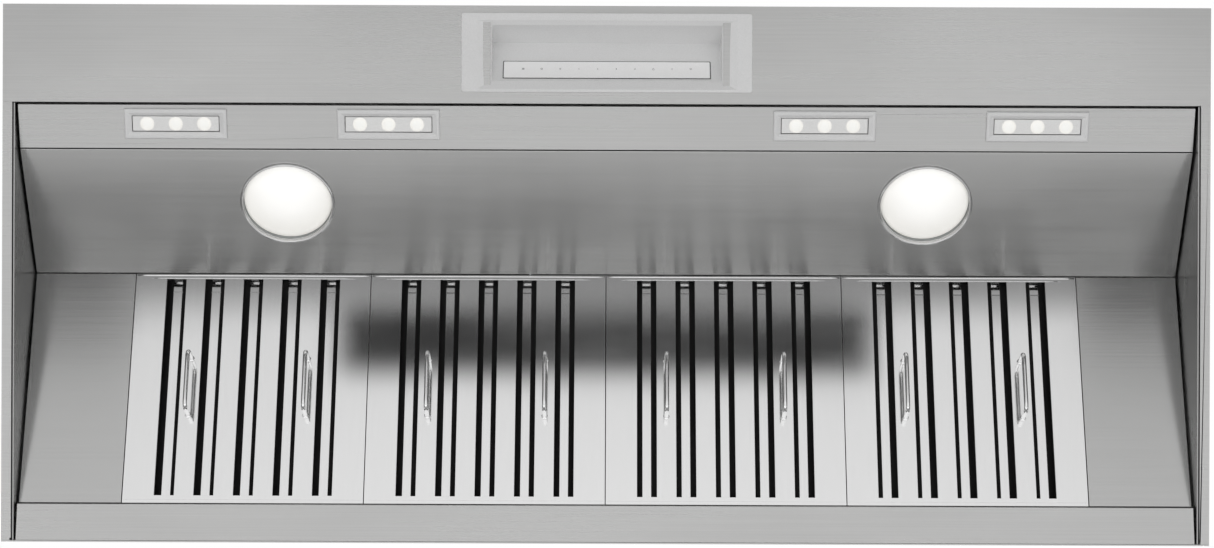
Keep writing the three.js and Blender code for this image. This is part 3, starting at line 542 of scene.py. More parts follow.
def seat(node):
    """The plane of a node's largest downward face: a frame with +X across, +Y up or down the slope and +Z into
    the hood, whose origin is on that face, in the middle across and at the lowest Y."""
    mesh = NODES[node].data
    mesh.calc_loop_triangles()
    areas = {}
    for triangle in mesh.loop_triangles:
        if triangle.normal.z < -0.3:
            key = tuple(round(v, 2) for v in triangle.normal)
            total, weight, place = areas.get(key, (Vector((0, 0, 0)), 0.0, Vector((0, 0, 0))))
            areas[key] = (
                total + triangle.normal * triangle.area,
                weight + triangle.area,
                place + mesh.vertices[triangle.vertices[0]].co * triangle.area,
            )
    total, weight, place = max(areas.values(), key=lambda item: item[1])
    inward = -total.normalized()
    across = Vector((1.0, 0.0, 0.0))
    along = inward.cross(across).normalized()
    frame_matrix = Matrix((across, along, inward)).transposed().to_4x4()
    frame_matrix.translation = place / weight
    low, high = extent(node, frame_matrix)
    origin = frame_matrix @ Vector(((low.x + high.x) / 2, low.y, 0.0))
    frame_matrix.translation = origin
    return frame_matrix


def extent(node, frame_matrix):
    """Lowest and highest corner of a node in a frame."""
    inverse = frame_matrix.inverted()
    places = [inverse @ vertex.co for vertex in NODES[node].data.vertices]
    low = Vector(min(p[k] for p in places) for k in range(3))
    high = Vector(max(p[k] for p in places) for k in range(3))
    return low, high


def shifted(matrix, x, y, z=0.0):
    return matrix @ Matrix.Translation((x, y, z))


def halves(low, high):
    """Half the size across and along, of the box from low to high."""
    return Vector(((high.x - low.x) / 2, (high.y - low.y) / 2))


# ---- canopy and inner panels ------------------------------------------------------------------------------
def canopy_grooves(seam):
    """Cutters for the joints between the front strip, the side rims and the rear corners, and for the vertical
    joints at the rear corners."""
    low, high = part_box("canopy_shell")
    front_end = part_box("side_liner_left")[0].y - 1.0 * MM
    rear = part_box("side_liner_left")[1].y
    rim_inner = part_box("side_liner_right")[1].x + 1.3 * MM
    deep = 0.9 * MM
    boxes = []
    for sign in (-1, 1):
        outer = sorted((sign * (rim_inner - 2 * MM), sign * (high.x + 2 * MM)))
        for joint in (front_end, rear):
            boxes.append(((outer[0], joint - seam / 2, RIM_Z - MM), (outer[1], joint + seam / 2, RIM_Z + deep)))
        notch = sorted((sign * (rim_inner - MM), sign * (rim_inner + 1.4 * MM)))
        boxes.append(((notch[0], rear - 2.4 * MM, RIM_Z - MM), (notch[1], rear, RIM_Z + 3 * MM)))
        corner = sorted((sign * (high.x - 6 * MM - seam), sign * (high.x - 6 * MM)))
        band_top = RIM_Z + 146 * MM
        boxes.append(((corner[0], high.y - deep, RIM_Z - MM), (corner[1], high.y + MM, band_top)))
    return box_mesh(boxes)


class HOOD_OT_canopy(bpy.types.Operator):
    """Folded canopy with its joints, and the panels under it"""

    bl_idname = "hood.canopy"
    bl_label = "Canopy and inner panels"

    def execute(self, context):
        sizes = context.scene.hood_sizes
        shell = carved(cad_mesh("canopy_shell"), [canopy_grooves(sizes.seam)])
        finish_piece(
            "canopy", shell, "root", ["canopy_steel", "bend_highlight_steel"], sizes.sheet_bend, 3, node="canopy_shell"
        )
        sheets = {
            "rear_rail": "canopy_steel", "light_panel": "canopy_steel", "lamp_panel": "panel_steel",
            "filler_panel_left": "filler_steel", "filler_panel_right": "filler_steel",
            "side_liner_left": "shaded_liner_steel", "side_liner_right": "shaded_liner_steel", "grease_channel": "canopy_steel",
        }
        for node, finish in sheets.items():
            dress(node, f"{node}_sheet", [finish, "bend_highlight_steel"], sizes.panel_edge)
        return {"FINISHED"}


# ---- filters ----------------------------------------------------------------------------------------------
def bail_path(length, reach):
    """Down one leg, round its bend, along the grip, and up the other leg: (Y, Z) in the filter's frame."""
    steps = 10
    path = [(0.0, 0.6 * MM), (0.0, -HANDLE_FOOT / 2), (0.0, -HANDLE_FOOT)]
    depth = HANDLE_BEND - reach
    path += [(0.0, -HANDLE_FOOT + (depth + HANDLE_FOOT) * i / 4) for i in range(1, 4)]
    for i in range(steps + 1):
        t = math.pi / 2 * i / steps
        path.append((HANDLE_BEND - HANDLE_BEND * math.cos(t), depth - HANDLE_BEND * math.sin(t)))
    leg = list(path)
    straight = length - 2 * HANDLE_BEND
    path += [(HANDLE_BEND + straight * i / 6, -reach) for i in range(1, 6)]
    return path + [(length - y, z) for y, z in reversed(leg)]


def add_bail(name, node, body, plane, wire):
    """A bent-wire handle with its welded feet, where the CAD handle stands."""
    low, high = extent(node, plane)
    radius = wire / 2
    length = high.y - low.y - wire
    reach = -low.z - radius
    path = bail_path(length, reach)
    count = len(path)
    radii = [radius] * count
    for foot, swell in ((0, 1.55), (1, 1.4), (2, 1.0)):
        radii[foot] = radius * swell
        radii[count - 1 - foot] = radius * swell
    matrix = shifted(plane, (low.x + high.x) / 2, low.y + radius)
    mesh = swept_mesh(name, [(0.0, y, z) for y, z in path], radii, 20, matrix)
    finish_piece(name, mesh, body, ["wire_steel"], node=node)


def filter_scribes(plane, node):
    """Cutter for the pressed line in front of the slots and the hem line at the rear edge."""
    low, high = extent(node, plane)
    half = (high.x - low.x) / 2
    thin = 0.5 * MM
    front = low.y + 6 * MM
    rear = high.y - 4.2 * MM
    deep = 0.35 * MM
    return box_mesh([
        ((-half + 18 * MM, front - thin, -MM), (half - 18 * MM, front, deep)),
        ((-half + 2 * MM, rear, -MM), (half - 2 * MM, rear + thin, deep)),
    ], plane)


def baffle_mesh(node, plane):
    """The rear baffles with narrower faces and a joint near their front end. Only the faces are bright."""
    low, high = extent(node, plane)
    joint = low.y + 15.5 * MM
    face = low.z
    cut = ((low.x - MM, joint, face - MM), (high.x + MM, joint + 0.7 * MM, face + 0.5 * MM))
    mesh = carved(cad_mesh(node), [box_mesh([cut], plane)])
    inverse = plane.inverted()
    for vertex in mesh.vertices:
        place = inverse @ vertex.co
        middle = round(place.x / SLOT_PITCH) * SLOT_PITCH
        if place.z < face + 3 * MM and abs(place.x - middle) < 8 * MM:
            place.x = middle + (place.x - middle) * BAFFLE_NARROWING
            vertex.co = plane @ place
    turned = inverse.to_3x3()
    for polygon in mesh.polygons:
        polygon.material_index = 0 if (turned @ polygon.normal).z < -0.97 else 1
    return mesh


def pan_mesh(node, plane):
    """The slotted pan with its pressed lines. The walls of its slots are in shade."""
    low, high = extent(node, plane)
    mesh = carved(cad_mesh(node), [filter_scribes(plane, node)])
    inverse = plane.inverted()
    turned = inverse.to_3x3()
    for polygon in mesh.polygons:
        middle = inverse @ polygon.center
        inside = abs(middle.x) < high.x - 3 * MM and low.y + 3 * MM < middle.y < high.y - 3 * MM
        if inside and middle.z > 0.3 * MM and (turned @ polygon.normal).z > -0.9:
            polygon.material_index = 1
    return mesh


class HOOD_OT_filters(bpy.types.Operator):
    """Four baffle filters with rolled slots, rear baffles and wire handles"""

    bl_idname = "hood.filters"
    bl_label = "Baffle filters"

    def execute(self, context):
        sizes = context.scene.hood_sizes
        for body in FILTERS:
            pan = f"{body}_frame"
            plane = seat(pan)
            finish_piece(
                f"{body}_pan", pan_mesh(pan, plane), body, ["filter_steel", "slot_shade", "filter_edge"],
                sizes.panel_edge * 1.5, 3, node=pan,
            )
            self.add_front_edge(body, pan, plane)
            rear = f"{body}_baffles"
            finish_piece(
                f"{body}_channels", baffle_mesh(rear, plane), body, ["filter_steel", "slot_shade"],
                sizes.panel_edge, angle=20.0, node=rear,
            )
            for side in SIDES:
                node = f"{body}_handle_{side}"
                add_bail(f"{body}_bail_{side}", node, body, plane, sizes.handle_wire)
        return {"FINISHED"}

    def add_front_edge(self, body, pan, plane):
        """The pan's rolled front edge, and the ridge pressed in front of its slots."""
        low, high = extent(pan, plane)
        roll = 1.5 * MM
        rolled = (low.y + roll, roll * 0.75, high.x - 1.2 * MM, roll, 16)
        pressed = (low.y + 5.3 * MM, 0.05 * MM, 2.5 * SLOT_PITCH + 4 * MM, 0.45 * MM, 10)
        count = 24
        turn = Matrix.Rotation(math.pi / 2, 4, "Z")
        for name, (y, z, half, radius, sides) in (("front_roll", rolled), ("pressed_ridge", pressed)):
            path = [(0.0, -half + 2 * half * i / count, 0.0) for i in range(count + 1)]
            mesh = swept_mesh(name, path, [radius] * (count + 1), sides, shifted(plane, 0.0, y, z) @ turn)
            finish_piece(f"{body}_{name}", mesh, body, ["filter_edge"])


# ---- heat lamps -------------------------------------------------------------------------------------------
def arc(centre, radius, start, end, steps):
    """Points of an arc in (radius, height), angles in degrees."""
    turns = [math.radians(start + (end - start) * i / steps) for i in range(steps + 1)]
    return [(centre[0] + radius * math.cos(t), centre[1] + radius * math.sin(t)) for t in turns]


class HOOD_OT_heat_lamps(bpy.types.Operator):
    """Heat lamps: rolled ring, lit glass with its neck, can and socket"""

    bl_idname = "hood.heat_lamps"
    bl_label = "Heat lamps"

    def execute(self, context):
        plane = seat("lamp_panel")
        for side in SIDES:
            ring_node = f"heat_lamp_{side}_trim"
            low, high = extent(ring_node, plane)
            matrix = shifted(plane, (low.x + high.x) / 2, (low.y + high.y) / 2)
            outer = (high.x - low.x) / 2
            wall = 2.9 * MM
            roll = 1.3 * MM
            lip = outer - wall
            ring = arc((outer - roll, -roll - 0.3 * MM), roll, 0, -90, 6)
            ring += arc((lip + roll, -roll - 0.3 * MM), roll, -90, -180, 6)
            ring += [(lip, 2.2 * MM), (lip + 0.9 * MM, 2.2 * MM), (lip + 0.9 * MM, -0.3 * MM)]
            ring += [(outer, -0.3 * MM)]
            mesh = turned_mesh("ring", ring, 96, matrix, ring=True)
            finish_piece(f"heat_lamp_{side}_ring", mesh, "root", ["ring_chrome"], node=ring_node)
            self.add_glass(side, matrix, lip)
            for inner, material in (("can", "galvanised"), ("socket", "lamp_ceramic")):
                node = f"heat_lamp_{side}_{inner}"
                dress(node, f"{node}_turned", [material], 0.4 * MM)
        return {"FINISHED"}

    def add_glass(self, side, matrix, lip):
        """A reflector bulb: its face is a shallow dome, its neck goes up into the socket."""
        node = f"heat_lamp_{side}_bulb"
        top = extent(node, matrix)[1].z
        face = lip - 0.7 * MM
        shares = (0, 0.2, 0.4, 0.55, 0.7, 0.82, 0.92)
        dome = [(face * share, -2.0 * MM + 5.0 * MM * share**2.6) for share in shares]
        shoulder = arc((face - 5.0 * MM, 7.5 * MM), 5.0 * MM, -50, 10, 6)
        flank = [
            (face * 0.985, 16 * MM), (face * 0.92, 26 * MM), (face * 0.78, 42 * MM), (face * 0.6, 58 * MM),
            (22.5 * MM, 68 * MM), (15 * MM, 78 * MM), (12.8 * MM, 86 * MM), (12.8 * MM, top - 3 * MM),
            (6 * MM, top), (0.0, top),
        ]
        mesh = turned_mesh("bulb", dome + shoulder + flank, 96, matrix, glow_radius=face)
        finish_piece(f"heat_lamp_{side}_glass", mesh, "root", ["lamp_glass"], node=node)


# ---- light bars -------------------------------------------------------------------------------------------
def rounded_loop(bm, half_x, half_y, z, radius, steps, matrix):
    """A loop of vertices round a rectangle with rounded corners, which start at its high X and Y."""
    corners = ((1, 1, 0), (-1, 1, 90), (-1, -1, 180), (1, -1, 270))
    made = []
    for sx, sy, start in corners:
        centre = (sx * (half_x - radius), sy * (half_y - radius))
        for i in range(steps + 1):
            t = math.radians(start + 90 * i / steps)
            place = Vector((centre[0] + radius * math.cos(t), centre[1] + radius * math.sin(t), z))
            made.append(bm.verts.new(matrix @ place))
    return made


def lofted_mesh(name, loops, matrix, closed=True):
    """A skin through rounded rectangles, each (half x, half y, z, corner radius): a solid with closed ends, or a
    frame whose last rectangle meets its first."""
    bm = bmesh.new()
    rows = [rounded_loop(bm, *loop, 4, matrix) for loop in loops]
    if closed:
        join_loops(bm, rows)
        bm.faces.new(rows[0])
        bm.faces.new(rows[-1])
    else:
        join_loops(bm, [*rows, rows[0]])
    return skin_mesh(bm, name)


class HOOD_OT_light_bars(bpy.types.Operator):
    """LED bars: chamfered bezel, lit bar and three domed lenses each"""

    bl_idname = "hood.light_bars"
    bl_label = "Light bars"

    def execute(self, context):
        plane = seat("light_panel")
        for bar in LIGHT_BARS:
            low, high = extent(f"{bar}_bezel", plane)
            bar_low, bar_high = extent(f"{bar}_module", plane)
            matrix = shifted(plane, (low.x + high.x) / 2, (low.y + high.y) / 2)
            inner = halves(bar_low, bar_high)
            self.add_bezel(bar, matrix, halves(low, high), inner, low.z)
            self.add_module(bar, matrix, inner, bar_high.z)
        return {"FINISHED"}

    def add_bezel(self, bar, matrix, half, inner, face):
        """A picture frame: steep outer chamfer, flat face, and a sloping inner edge down to the bar."""
        back = -0.3 * MM
        window = inner + Vector((0.6 * MM, 0.6 * MM))
        slope = 5.2 * MM
        loops = [
            (half.x, half.y, back, 1.2 * MM),
            (half.x, half.y, face * 0.45, 1.2 * MM),
            (half.x - 0.5 * MM, half.y - 0.5 * MM, face * 0.8, 1.1 * MM),
            (half.x - 1.6 * MM, half.y - 1.6 * MM, face, 1.0 * MM),
            (window.x + slope, window.y + slope * 0.75, face, 0.9 * MM),
            (window.x + slope - 0.7 * MM, window.y + slope * 0.75 - 0.7 * MM, face * 0.92, 0.9 * MM),
            (window.x + 0.5 * MM, window.y + 0.5 * MM, face * 0.42, 0.7 * MM),
            (window.x, window.y, face * 0.3, 0.6 * MM),
            (window.x, window.y, back, 0.6 * MM),
        ]
        mesh = lofted_mesh("bezel", loops, matrix, closed=False)
        finish_piece(f"{bar}_frame", mesh, "root", ["trim_grey"], 0.18 * MM, angle=18, node=f"{bar}_bezel")

    def add_module(self, bar, matrix, inner, top):
        """The lit bar and its domed lenses."""
        face = -1.0 * MM
        loops = [
            (inner.x - 0.2 * MM, inner.y - 0.2 * MM, top, 0.6 * MM),
            (inner.x - 0.2 * MM, inner.y - 0.2 * MM, face * 0.4, 0.6 * MM),
            (inner.x - 0.7 * MM, inner.y - 0.7 * MM, face, 0.6 * MM),
        ]
        body = lofted_mesh("bar", loops, matrix)
        finish_piece(f"{bar}_body", body, "root", ["led_bar_painted_glow"], 0.25 * MM, angle=20, node=f"{bar}_module")
        radius = LENS_RADIUS
        profile = [(0.0, -2.3 * MM), (radius * 0.35, -2.2 * MM), (radius * 0.62, -1.95 * MM)]
        profile += [(radius * 0.82, -1.6 * MM), (radius * 0.95, -1.25 * MM), (radius, face - 0.02 * MM)]
        profile += [(radius, -0.2 * MM), (0.0, -0.2 * MM)]
        for index in range(3):
            place = shifted(matrix, (index - 1) * LENS_PITCH, 0.0)
            mesh = turned_mesh("lens", profile, 48, place, glow_radius=radius)
            finish_piece(f"{bar}_lens_{index + 1}", mesh, "root", ["led_lens"])


# ---- controls ---------------------------------------------------------------------------------------------
def control_housing_mesh():
    """Face plate with rounded corners, a flared mouth, steep front and side walls, and a sloping floor."""
    low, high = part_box("control_housing")
    half = halves(low, high)
    face = low.z
    back = face + 1.5 * MM
    matrix = Matrix.Translation((0.0, (low.y + high.y) / 2, 0.0))
    bm = bmesh.new()
    steps = 5
    loops = [
        (half.x, half.y, back, 3.0 * MM),
        (half.x, half.y, face + 0.5 * MM, 3.0 * MM),
        (half.x - 0.5 * MM, half.y - 0.5 * MM, face, 2.6 * MM),
    ]
    rows = [rounded_loop(bm, *loop, steps, matrix) for loop in loops]
    join_loops(bm, rows)
    mouth_y = (low.y + 8.2 * MM, high.y - 3.4 * MM)
    inner_y = (low.y + 13.6 * MM, high.y - 13.0 * MM)
    mouth_x, inner_x = 148.0 * MM, 130.5 * MM
    crease_y, crease_z = low.y + 30.9 * MM, RIM_Z + POCKET_HEIGHT

    def quad(x, y, z_front, z_rear):
        return [
            bm.verts.new((x, y[1], z_rear)), bm.verts.new((-x, y[1], z_rear)),
            bm.verts.new((-x, y[0], z_front)), bm.verts.new((x, y[0], z_front)),
        ]

    mouth = quad(mouth_x, mouth_y, face, face)
    inner = quad(inner_x, inner_y, face + 4.2 * MM, face + 3.7 * MM)
    outer = rows[-1]
    arc_points = steps + 1
    for corner in range(4):
        start = corner * arc_points
        for k in range(start, start + steps):
            bm.faces.new((outer[k], outer[k + 1], mouth[corner]))
        n = (corner + 1) % 4
        bm.faces.new((outer[start + steps], outer[(start + arc_points) % len(outer)], mouth[n], mouth[corner]))
        bm.faces.new((mouth[corner], mouth[n], inner[n], inner[corner]))
    crease = [bm.verts.new((x, crease_y, crease_z)) for x in (inner_x, -inner_x)]
    bm.faces.new((inner[2], inner[3], crease[0], crease[1]))
    bm.faces.new((inner[0], inner[3], crease[0]))
    bm.faces.new((inner[1], inner[2], crease[1]))
    bm.faces.new((inner[0], crease[0], crease[1], inner[1]))
    bmesh.ops.recalc_face_normals(bm, faces=bm.faces)
    bmesh.ops.solidify(bm, geom=bm.faces[:], thickness=1.2 * MM)
    return skin_mesh(bm, "housing")


def stroke_mesh(name, strokes, width, depth, matrix):
    """Thin raised strokes: each a line of (x, y) points, drawn as joined bars on matrix's XY plane."""
    bm = bmesh.new()
    for stroke in strokes:
        points = [Vector((x, y, 0.0)) for x, y in stroke]
        sides = []
        for i, point in enumerate(points):
            ahead = points[min(i + 1, len(points) - 1)] - points[max(i - 1, 0)]
            across = Vector((-ahead.y, ahead.x, 0.0)).normalized() * width / 2
            corners = [(across, 0.0), (across, depth), (-across, depth), (-across, 0.0)]
            sides.append([bm.verts.new(point + aside + Vector((0, 0, z))) for aside, z in corners])
        join_loops(bm, sides)
        bm.faces.new(sides[0])
        bm.faces.new(sides[-1])
    return skin_mesh(bm, name, matrix)


def circle_stroke(radius, start=0.0, end=360.0, centre=(0.0, 0.0)):
    return arc(centre, radius, start, end, 20)


def digit_mesh(digit, size, matrix):
    """A printed digit, as a thin raised mesh."""
    curve = bpy.data.curves.new("digit", "FONT")
    curve.body = digit
    curve.size = size
    curve.extrude = 0.02 * MM
    curve.align_x = "CENTER"
    curve.align_y = "CENTER"
    carrier = placed("digit", curve)
    outline = bpy.data.meshes.new_from_object(carrier.evaluated_get(bpy.context.evaluated_depsgraph_get()))
    bpy.data.objects.remove(carrier)
    bpy.data.curves.remove(curve)
    bm = bmesh.new()
    bm.from_mesh(outline)
    bmesh.ops.remove_doubles(bm, verts=bm.verts, dist=0.004 * MM)
    bm.transform(matrix)
    return mesh_of(bm, f"digit_{digit}")


def symbol_strokes(unit):
    """Plain symbols by their place along the strip: filter, delay, automatic, lamp and signal."""
    bars = [[(x * unit, -0.8 * unit), (x * unit, 0.8 * unit)] for x in (-0.9, -0.3, 0.3, 0.9)]
    bars += [[(-1.3 * unit, y * unit), (1.3 * unit, y * unit)] for y in (-0.85, 0.85)]
    clock = [circle_stroke(unit), [(0.0, 0.65 * unit), (0.0, 0.0), (0.5 * unit, -0.2 * unit)]]
    turning = [
        circle_stroke(unit, 60, 350),
        [(0.25 * unit, 1.3 * unit), (0.55 * unit, 0.85 * unit), (0.05 * unit, 0.55 * unit)],
    ]
    lamp = [
        circle_stroke(0.7 * unit, -60, 240, (0.0, 0.25 * unit)),
        [(-0.35 * unit, -0.8 * unit), (0.35 * unit, -0.8 * unit)],
    ]
    signal = [circle_stroke(r * unit, 45, 135, (0.0, -0.8 * unit)) for r in (0.5, 1.1, 1.7)]
    return {0: bars, 1: clock, 7: turning, 8: lamp, 9: signal}


class HOOD_OT_controls(bpy.types.Operator):
    """Control housing with its pocket, and the touch strip with digits and plain symbols"""

    bl_idname = "hood.controls"
    bl_label = "Controls"

    def execute(self, context):
        finish_piece(
            "control_pocket", control_housing_mesh(), "root", ["trim_grey"], 0.9 * MM, 4, angle=8,
            node="control_housing",
        )
        plane = seat("touch_strip")
        half = halves(*extent("touch_strip", plane))
        matrix = shifted(plane, 0.0, half.y)
        # painted shade: a near-black ring fills the gap round the touch strip
        gap_shade = [
            (half.x + 0.9 * MM, half.y + 0.9 * MM, 0.8 * MM, 1.0 * MM),
            (half.x + 0.9 * MM, half.y + 0.9 * MM, -0.35 * MM, 1.0 * MM),
        ]
        finish_piece("touch_gap_shade", lofted_mesh("gap_shade", gap_shade, matrix), "root", ["gap_painted_shade"], 0.1 * MM)
        strip = [
            (half.x, half.y, 0.8 * MM, 0.9 * MM),
            (half.x, half.y, -0.5 * MM, 0.9 * MM),
            (half.x - 0.4 * MM, half.y - 0.4 * MM, -0.8 * MM, 0.8 * MM),
        ]
        finish_piece(
            "touch_panel", lofted_mesh("strip", strip, matrix), "root", ["touch_face_painted_glow"], 0.15 * MM, angle=20,
            node="touch_strip",
        )
        self.add_marks(matrix)
        dress("control_board", "control_circuit", ["board_green"], 0.2 * MM)
        return {"FINISHED"}

    def add_marks(self, matrix):
        """Ten marks on an even pitch: digits 0 to 4 in the middle, plain symbols either side."""
        first = -95.3 * MM
        flat = Matrix(((1, 0, 0, 0), (0, -1, 0, 0), (0, 0, -1, 0), (0, 0, 0, 1)))
        symbols = symbol_strokes(1.25 * MM)
        for index in range(10):
            place = shifted(matrix, first + index * MARK_PITCH, -0.9 * MM, -0.82 * MM) @ flat
            ink = "touch_ink_faint" if index in FAINT_MARKS else "touch_ink"
            if index in symbols:
                mesh = stroke_mesh("symbol", symbols[index], MARK_STROKE, 0.03 * MM, place)
            else:
                mesh = digit_mesh(str(index - 2), DIGIT_HEIGHT, place)
            finish_piece(f"touch_mark_{index}", mesh, "root", [ink])


# ---- blower, damper and electrics -------------------------------------------------------------------------
class HOOD_OT_blower(bpy.types.Operator):
    """Blower housing, impeller and motor, duct collar and damper"""

    bl_idname = "hood.blower"
    bl_label = "Blower and damper"

    def execute(self, context):
        for node in ["blower_housing", "motor_bracket", "duct_collar", "damper_flap_rear", "damper_flap_front"]:
            dress(node, f"{node}_made", ["galvanised"], 0.4 * MM)
        for node in ["impeller", "motor_shaft", "damper_rod"]:
            dress(node, f"{node}_made", ["galvanised"], 0.2 * MM)
        dress("blower_motor", "blower_motor_made", ["motor_paint"], 1.2 * MM)
        self.add_flange_screws()
        return {"FINISHED"}

    def add_flange_screws(self):
        """Screws that hold the collar's foot to the blower."""
        low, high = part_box("duct_collar")
        plate_z = high.z - 70 * MM
        for index, (x, y) in enumerate(((-1, -1), (1, -1), (-1, 1), (1, 1))):
            place = (x * (high.x - 8 * MM), low.y + 10 * MM if y < 0 else high.y - 10 * MM, plate_z)
            mesh = screw_mesh(3.4 * MM, Matrix.Translation(place))
            finish_piece(f"collar_screw_{index + 1}", mesh, "root", ["wire_steel"])


def screw_mesh(radius, matrix):
    """A domed screw head with a socket, standing on matrix's XY plane."""
    height = radius * 0.62
    profile = [(0.0, height * 0.35), (radius * 0.42, height * 0.35), (radius * 0.46, height * 0.98)]
    profile += [(radius * 0.62, height), (radius * 0.84, height * 0.8), (radius * 0.97, height * 0.42)]
    profile += [(radius, 0.06 * height), (radius * 0.98, 0.0), (0.0, 0.0)]
    return turned_mesh("screw", profile, 24, matrix)


class HOOD_OT_electrics(bpy.types.Operator):
    """Junction box with its screwed lid"""

    bl_idname = "hood.electrics"
    bl_label = "Junction box"

    def execute(self, context):
        for node in ["junction_box", "junction_box_lid"]:
            dress(node, f"{node}_made", ["galvanised"], 0.4 * MM)
        low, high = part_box("junction_box_lid")
        down = Matrix.Rotation(math.pi, 4, "X")
        inset = 7 * MM
        across = (low.x + inset, high.x - inset)
        along = (low.y + inset, high.y - inset)
        for index, (x, y) in enumerate((x, y) for y in along for x in across):
            place = (x, y, low.z)
            mesh = screw_mesh(2.8 * MM, Matrix.Translation(place) @ down)
            finish_piece(f"box_screw_{index + 1}", mesh, "root", ["wire_steel"])
        return {"FINISHED"}


# ---- chimney and support ----------------------------------------------------------------------------------
def cover_mesh(node, seam):
    """A cover with the joint down the middle of its rear face."""
    low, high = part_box(node)
    groove = box_mesh([((-seam / 2, high.y - 0.7 * MM, low.z - MM), (seam / 2, high.y + MM, high.z + MM))])
    return carved(cad_mesh(node), [groove])


class HOOD_OT_chimney(bpy.types.Operator):
    """Telescoping chimney covers and the support frame inside them"""

    bl_idname = "hood.chimney"
    bl_label = "Chimney and support"

    def execute(self, context):
        sizes = context.scene.hood_sizes
        for node in ["chimney_lower", "chimney_upper"]:
            finish_piece(
                f"{node}_cover", cover_mesh(node, sizes.seam), BODY_OF[node], ["chimney_steel", "bend_highlight_steel"],
                sizes.sheet_bend * 0.65, 3, node=node,
            )
        for node in ["ceiling_plate", "frame_upper", "frame_lower"]:
            dress(node, f"{node}_made", ["galvanised"], 0.4 * MM)
        self.add_cover_screws()
        return {"FINISHED"}

    def add_cover_screws(self):
        """Two screws near the ceiling on each side of the upper cover."""
        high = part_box("chimney_upper")[1]
        for side, sign in zip(SIDES, (-1, 1)):
            turn = Matrix.Rotation(sign * math.pi / 2, 4, "Y")
            for index, y in enumerate((-100 * MM, 100 * MM)):
                place = Matrix.Translation((sign * high.x, y, high.z - COVER_SCREW_DROP))
                mesh = screw_mesh(3.6 * MM, place @ turn)
                finish_piece(f"cover_screw_{side}_{index + 1}", mesh, "root", ["wire_steel"])


# ---- stage ------------------------------------------------------------------------------------------------
def add_softbox(name, place, aim, size, power):
    data = bpy.data.lights.new(name, "AREA")
    data.shape = "RECTANGLE"
    data.size, data.size_y = size
    data.energy = power
    light = placed(name, data)
    light.location = place
    light.rotation_euler = (Vector(aim) - Vector(place)).to_track_quat("-Z", "Y").to_euler()
    light.visible_camera = False


def add_card(name, place, facing, half_width, near, far, shade, soft):
    """A soft-edged card that the steel reflects but the camera can't see. near and far are its edges measured
    from place, on the line across facing. soft is the width of its faded side, near and far edges."""
    bm = bmesh.new()
    bmesh.ops.create_grid(bm, x_segments=1, y_segments=1, size=1.0)
    middle = Matrix.Translation((0.0, (near + far) / 2, 0.0))
    bm.transform(middle @ Matrix.Diagonal((half_width, (far - near) / 2, 1.0, 1.0)))
    card = placed(name, mesh_of(bm, name))
    inward = -Vector(facing).normalized()
    across = Vector((1.0, 0.0, 0.0))
    turn = Matrix((across, inward.cross(across), inward)).transposed().to_4x4()
    card.matrix_world = Matrix.Translation(place) @ turn
    paint = f"{name}_paint"
    tree, shader = new_material(
        paint, Base_Color=(0.0, 0.0, 0.0, 1.0), Specular_IOR_Level=0.0, Emission_Color=(shade, shade, shade, 1.0),
        Emission_Strength=1.0,
    )
    place_on_card = add_node(tree, "ShaderNodeTexCoord").outputs["Object"]
    split = add_node(tree, "ShaderNodeSeparateXYZ", i0=place_on_card)
    aside = add_node(tree, "ShaderNodeMath", {"operation": "ABSOLUTE"}, i0=split.outputs[0])
    ease = {"interpolation_type": "SMOOTHSTEP"}
    ends = (half_width - soft[0], half_width, 1.0, 0.0)
    starts = (near, near + soft[1], 0.0, 1.0)
    stops = (far - soft[2], far, 1.0, 0.0)
    fades = []
    for source, (low, high, first, last) in (
        (aside.outputs[0], ends), (split.outputs[1], starts), (split.outputs[1], stops),
    ):
        fade = add_node(tree, "ShaderNodeMapRange", ease, i0=source, i1=low, i2=high, i3=first, i4=last)
        fades.append(fade.outputs[0])
    partly = add_node(tree, "ShaderNodeMath", {"operation": "MULTIPLY"}, i0=fades[0], i1=fades[1])
    wholly = add_node(tree, "ShaderNodeMath", {"operation": "MULTIPLY"}, i0=partly.outputs[0], i1=fades[2])
    tree.links.new(wholly.outputs[0], shader.inputs["Alpha"])
    card.data.materials.append(MATERIALS[paint])
    card.visible_camera = False
    card.visible_shadow = False
    card.visible_diffuse = False


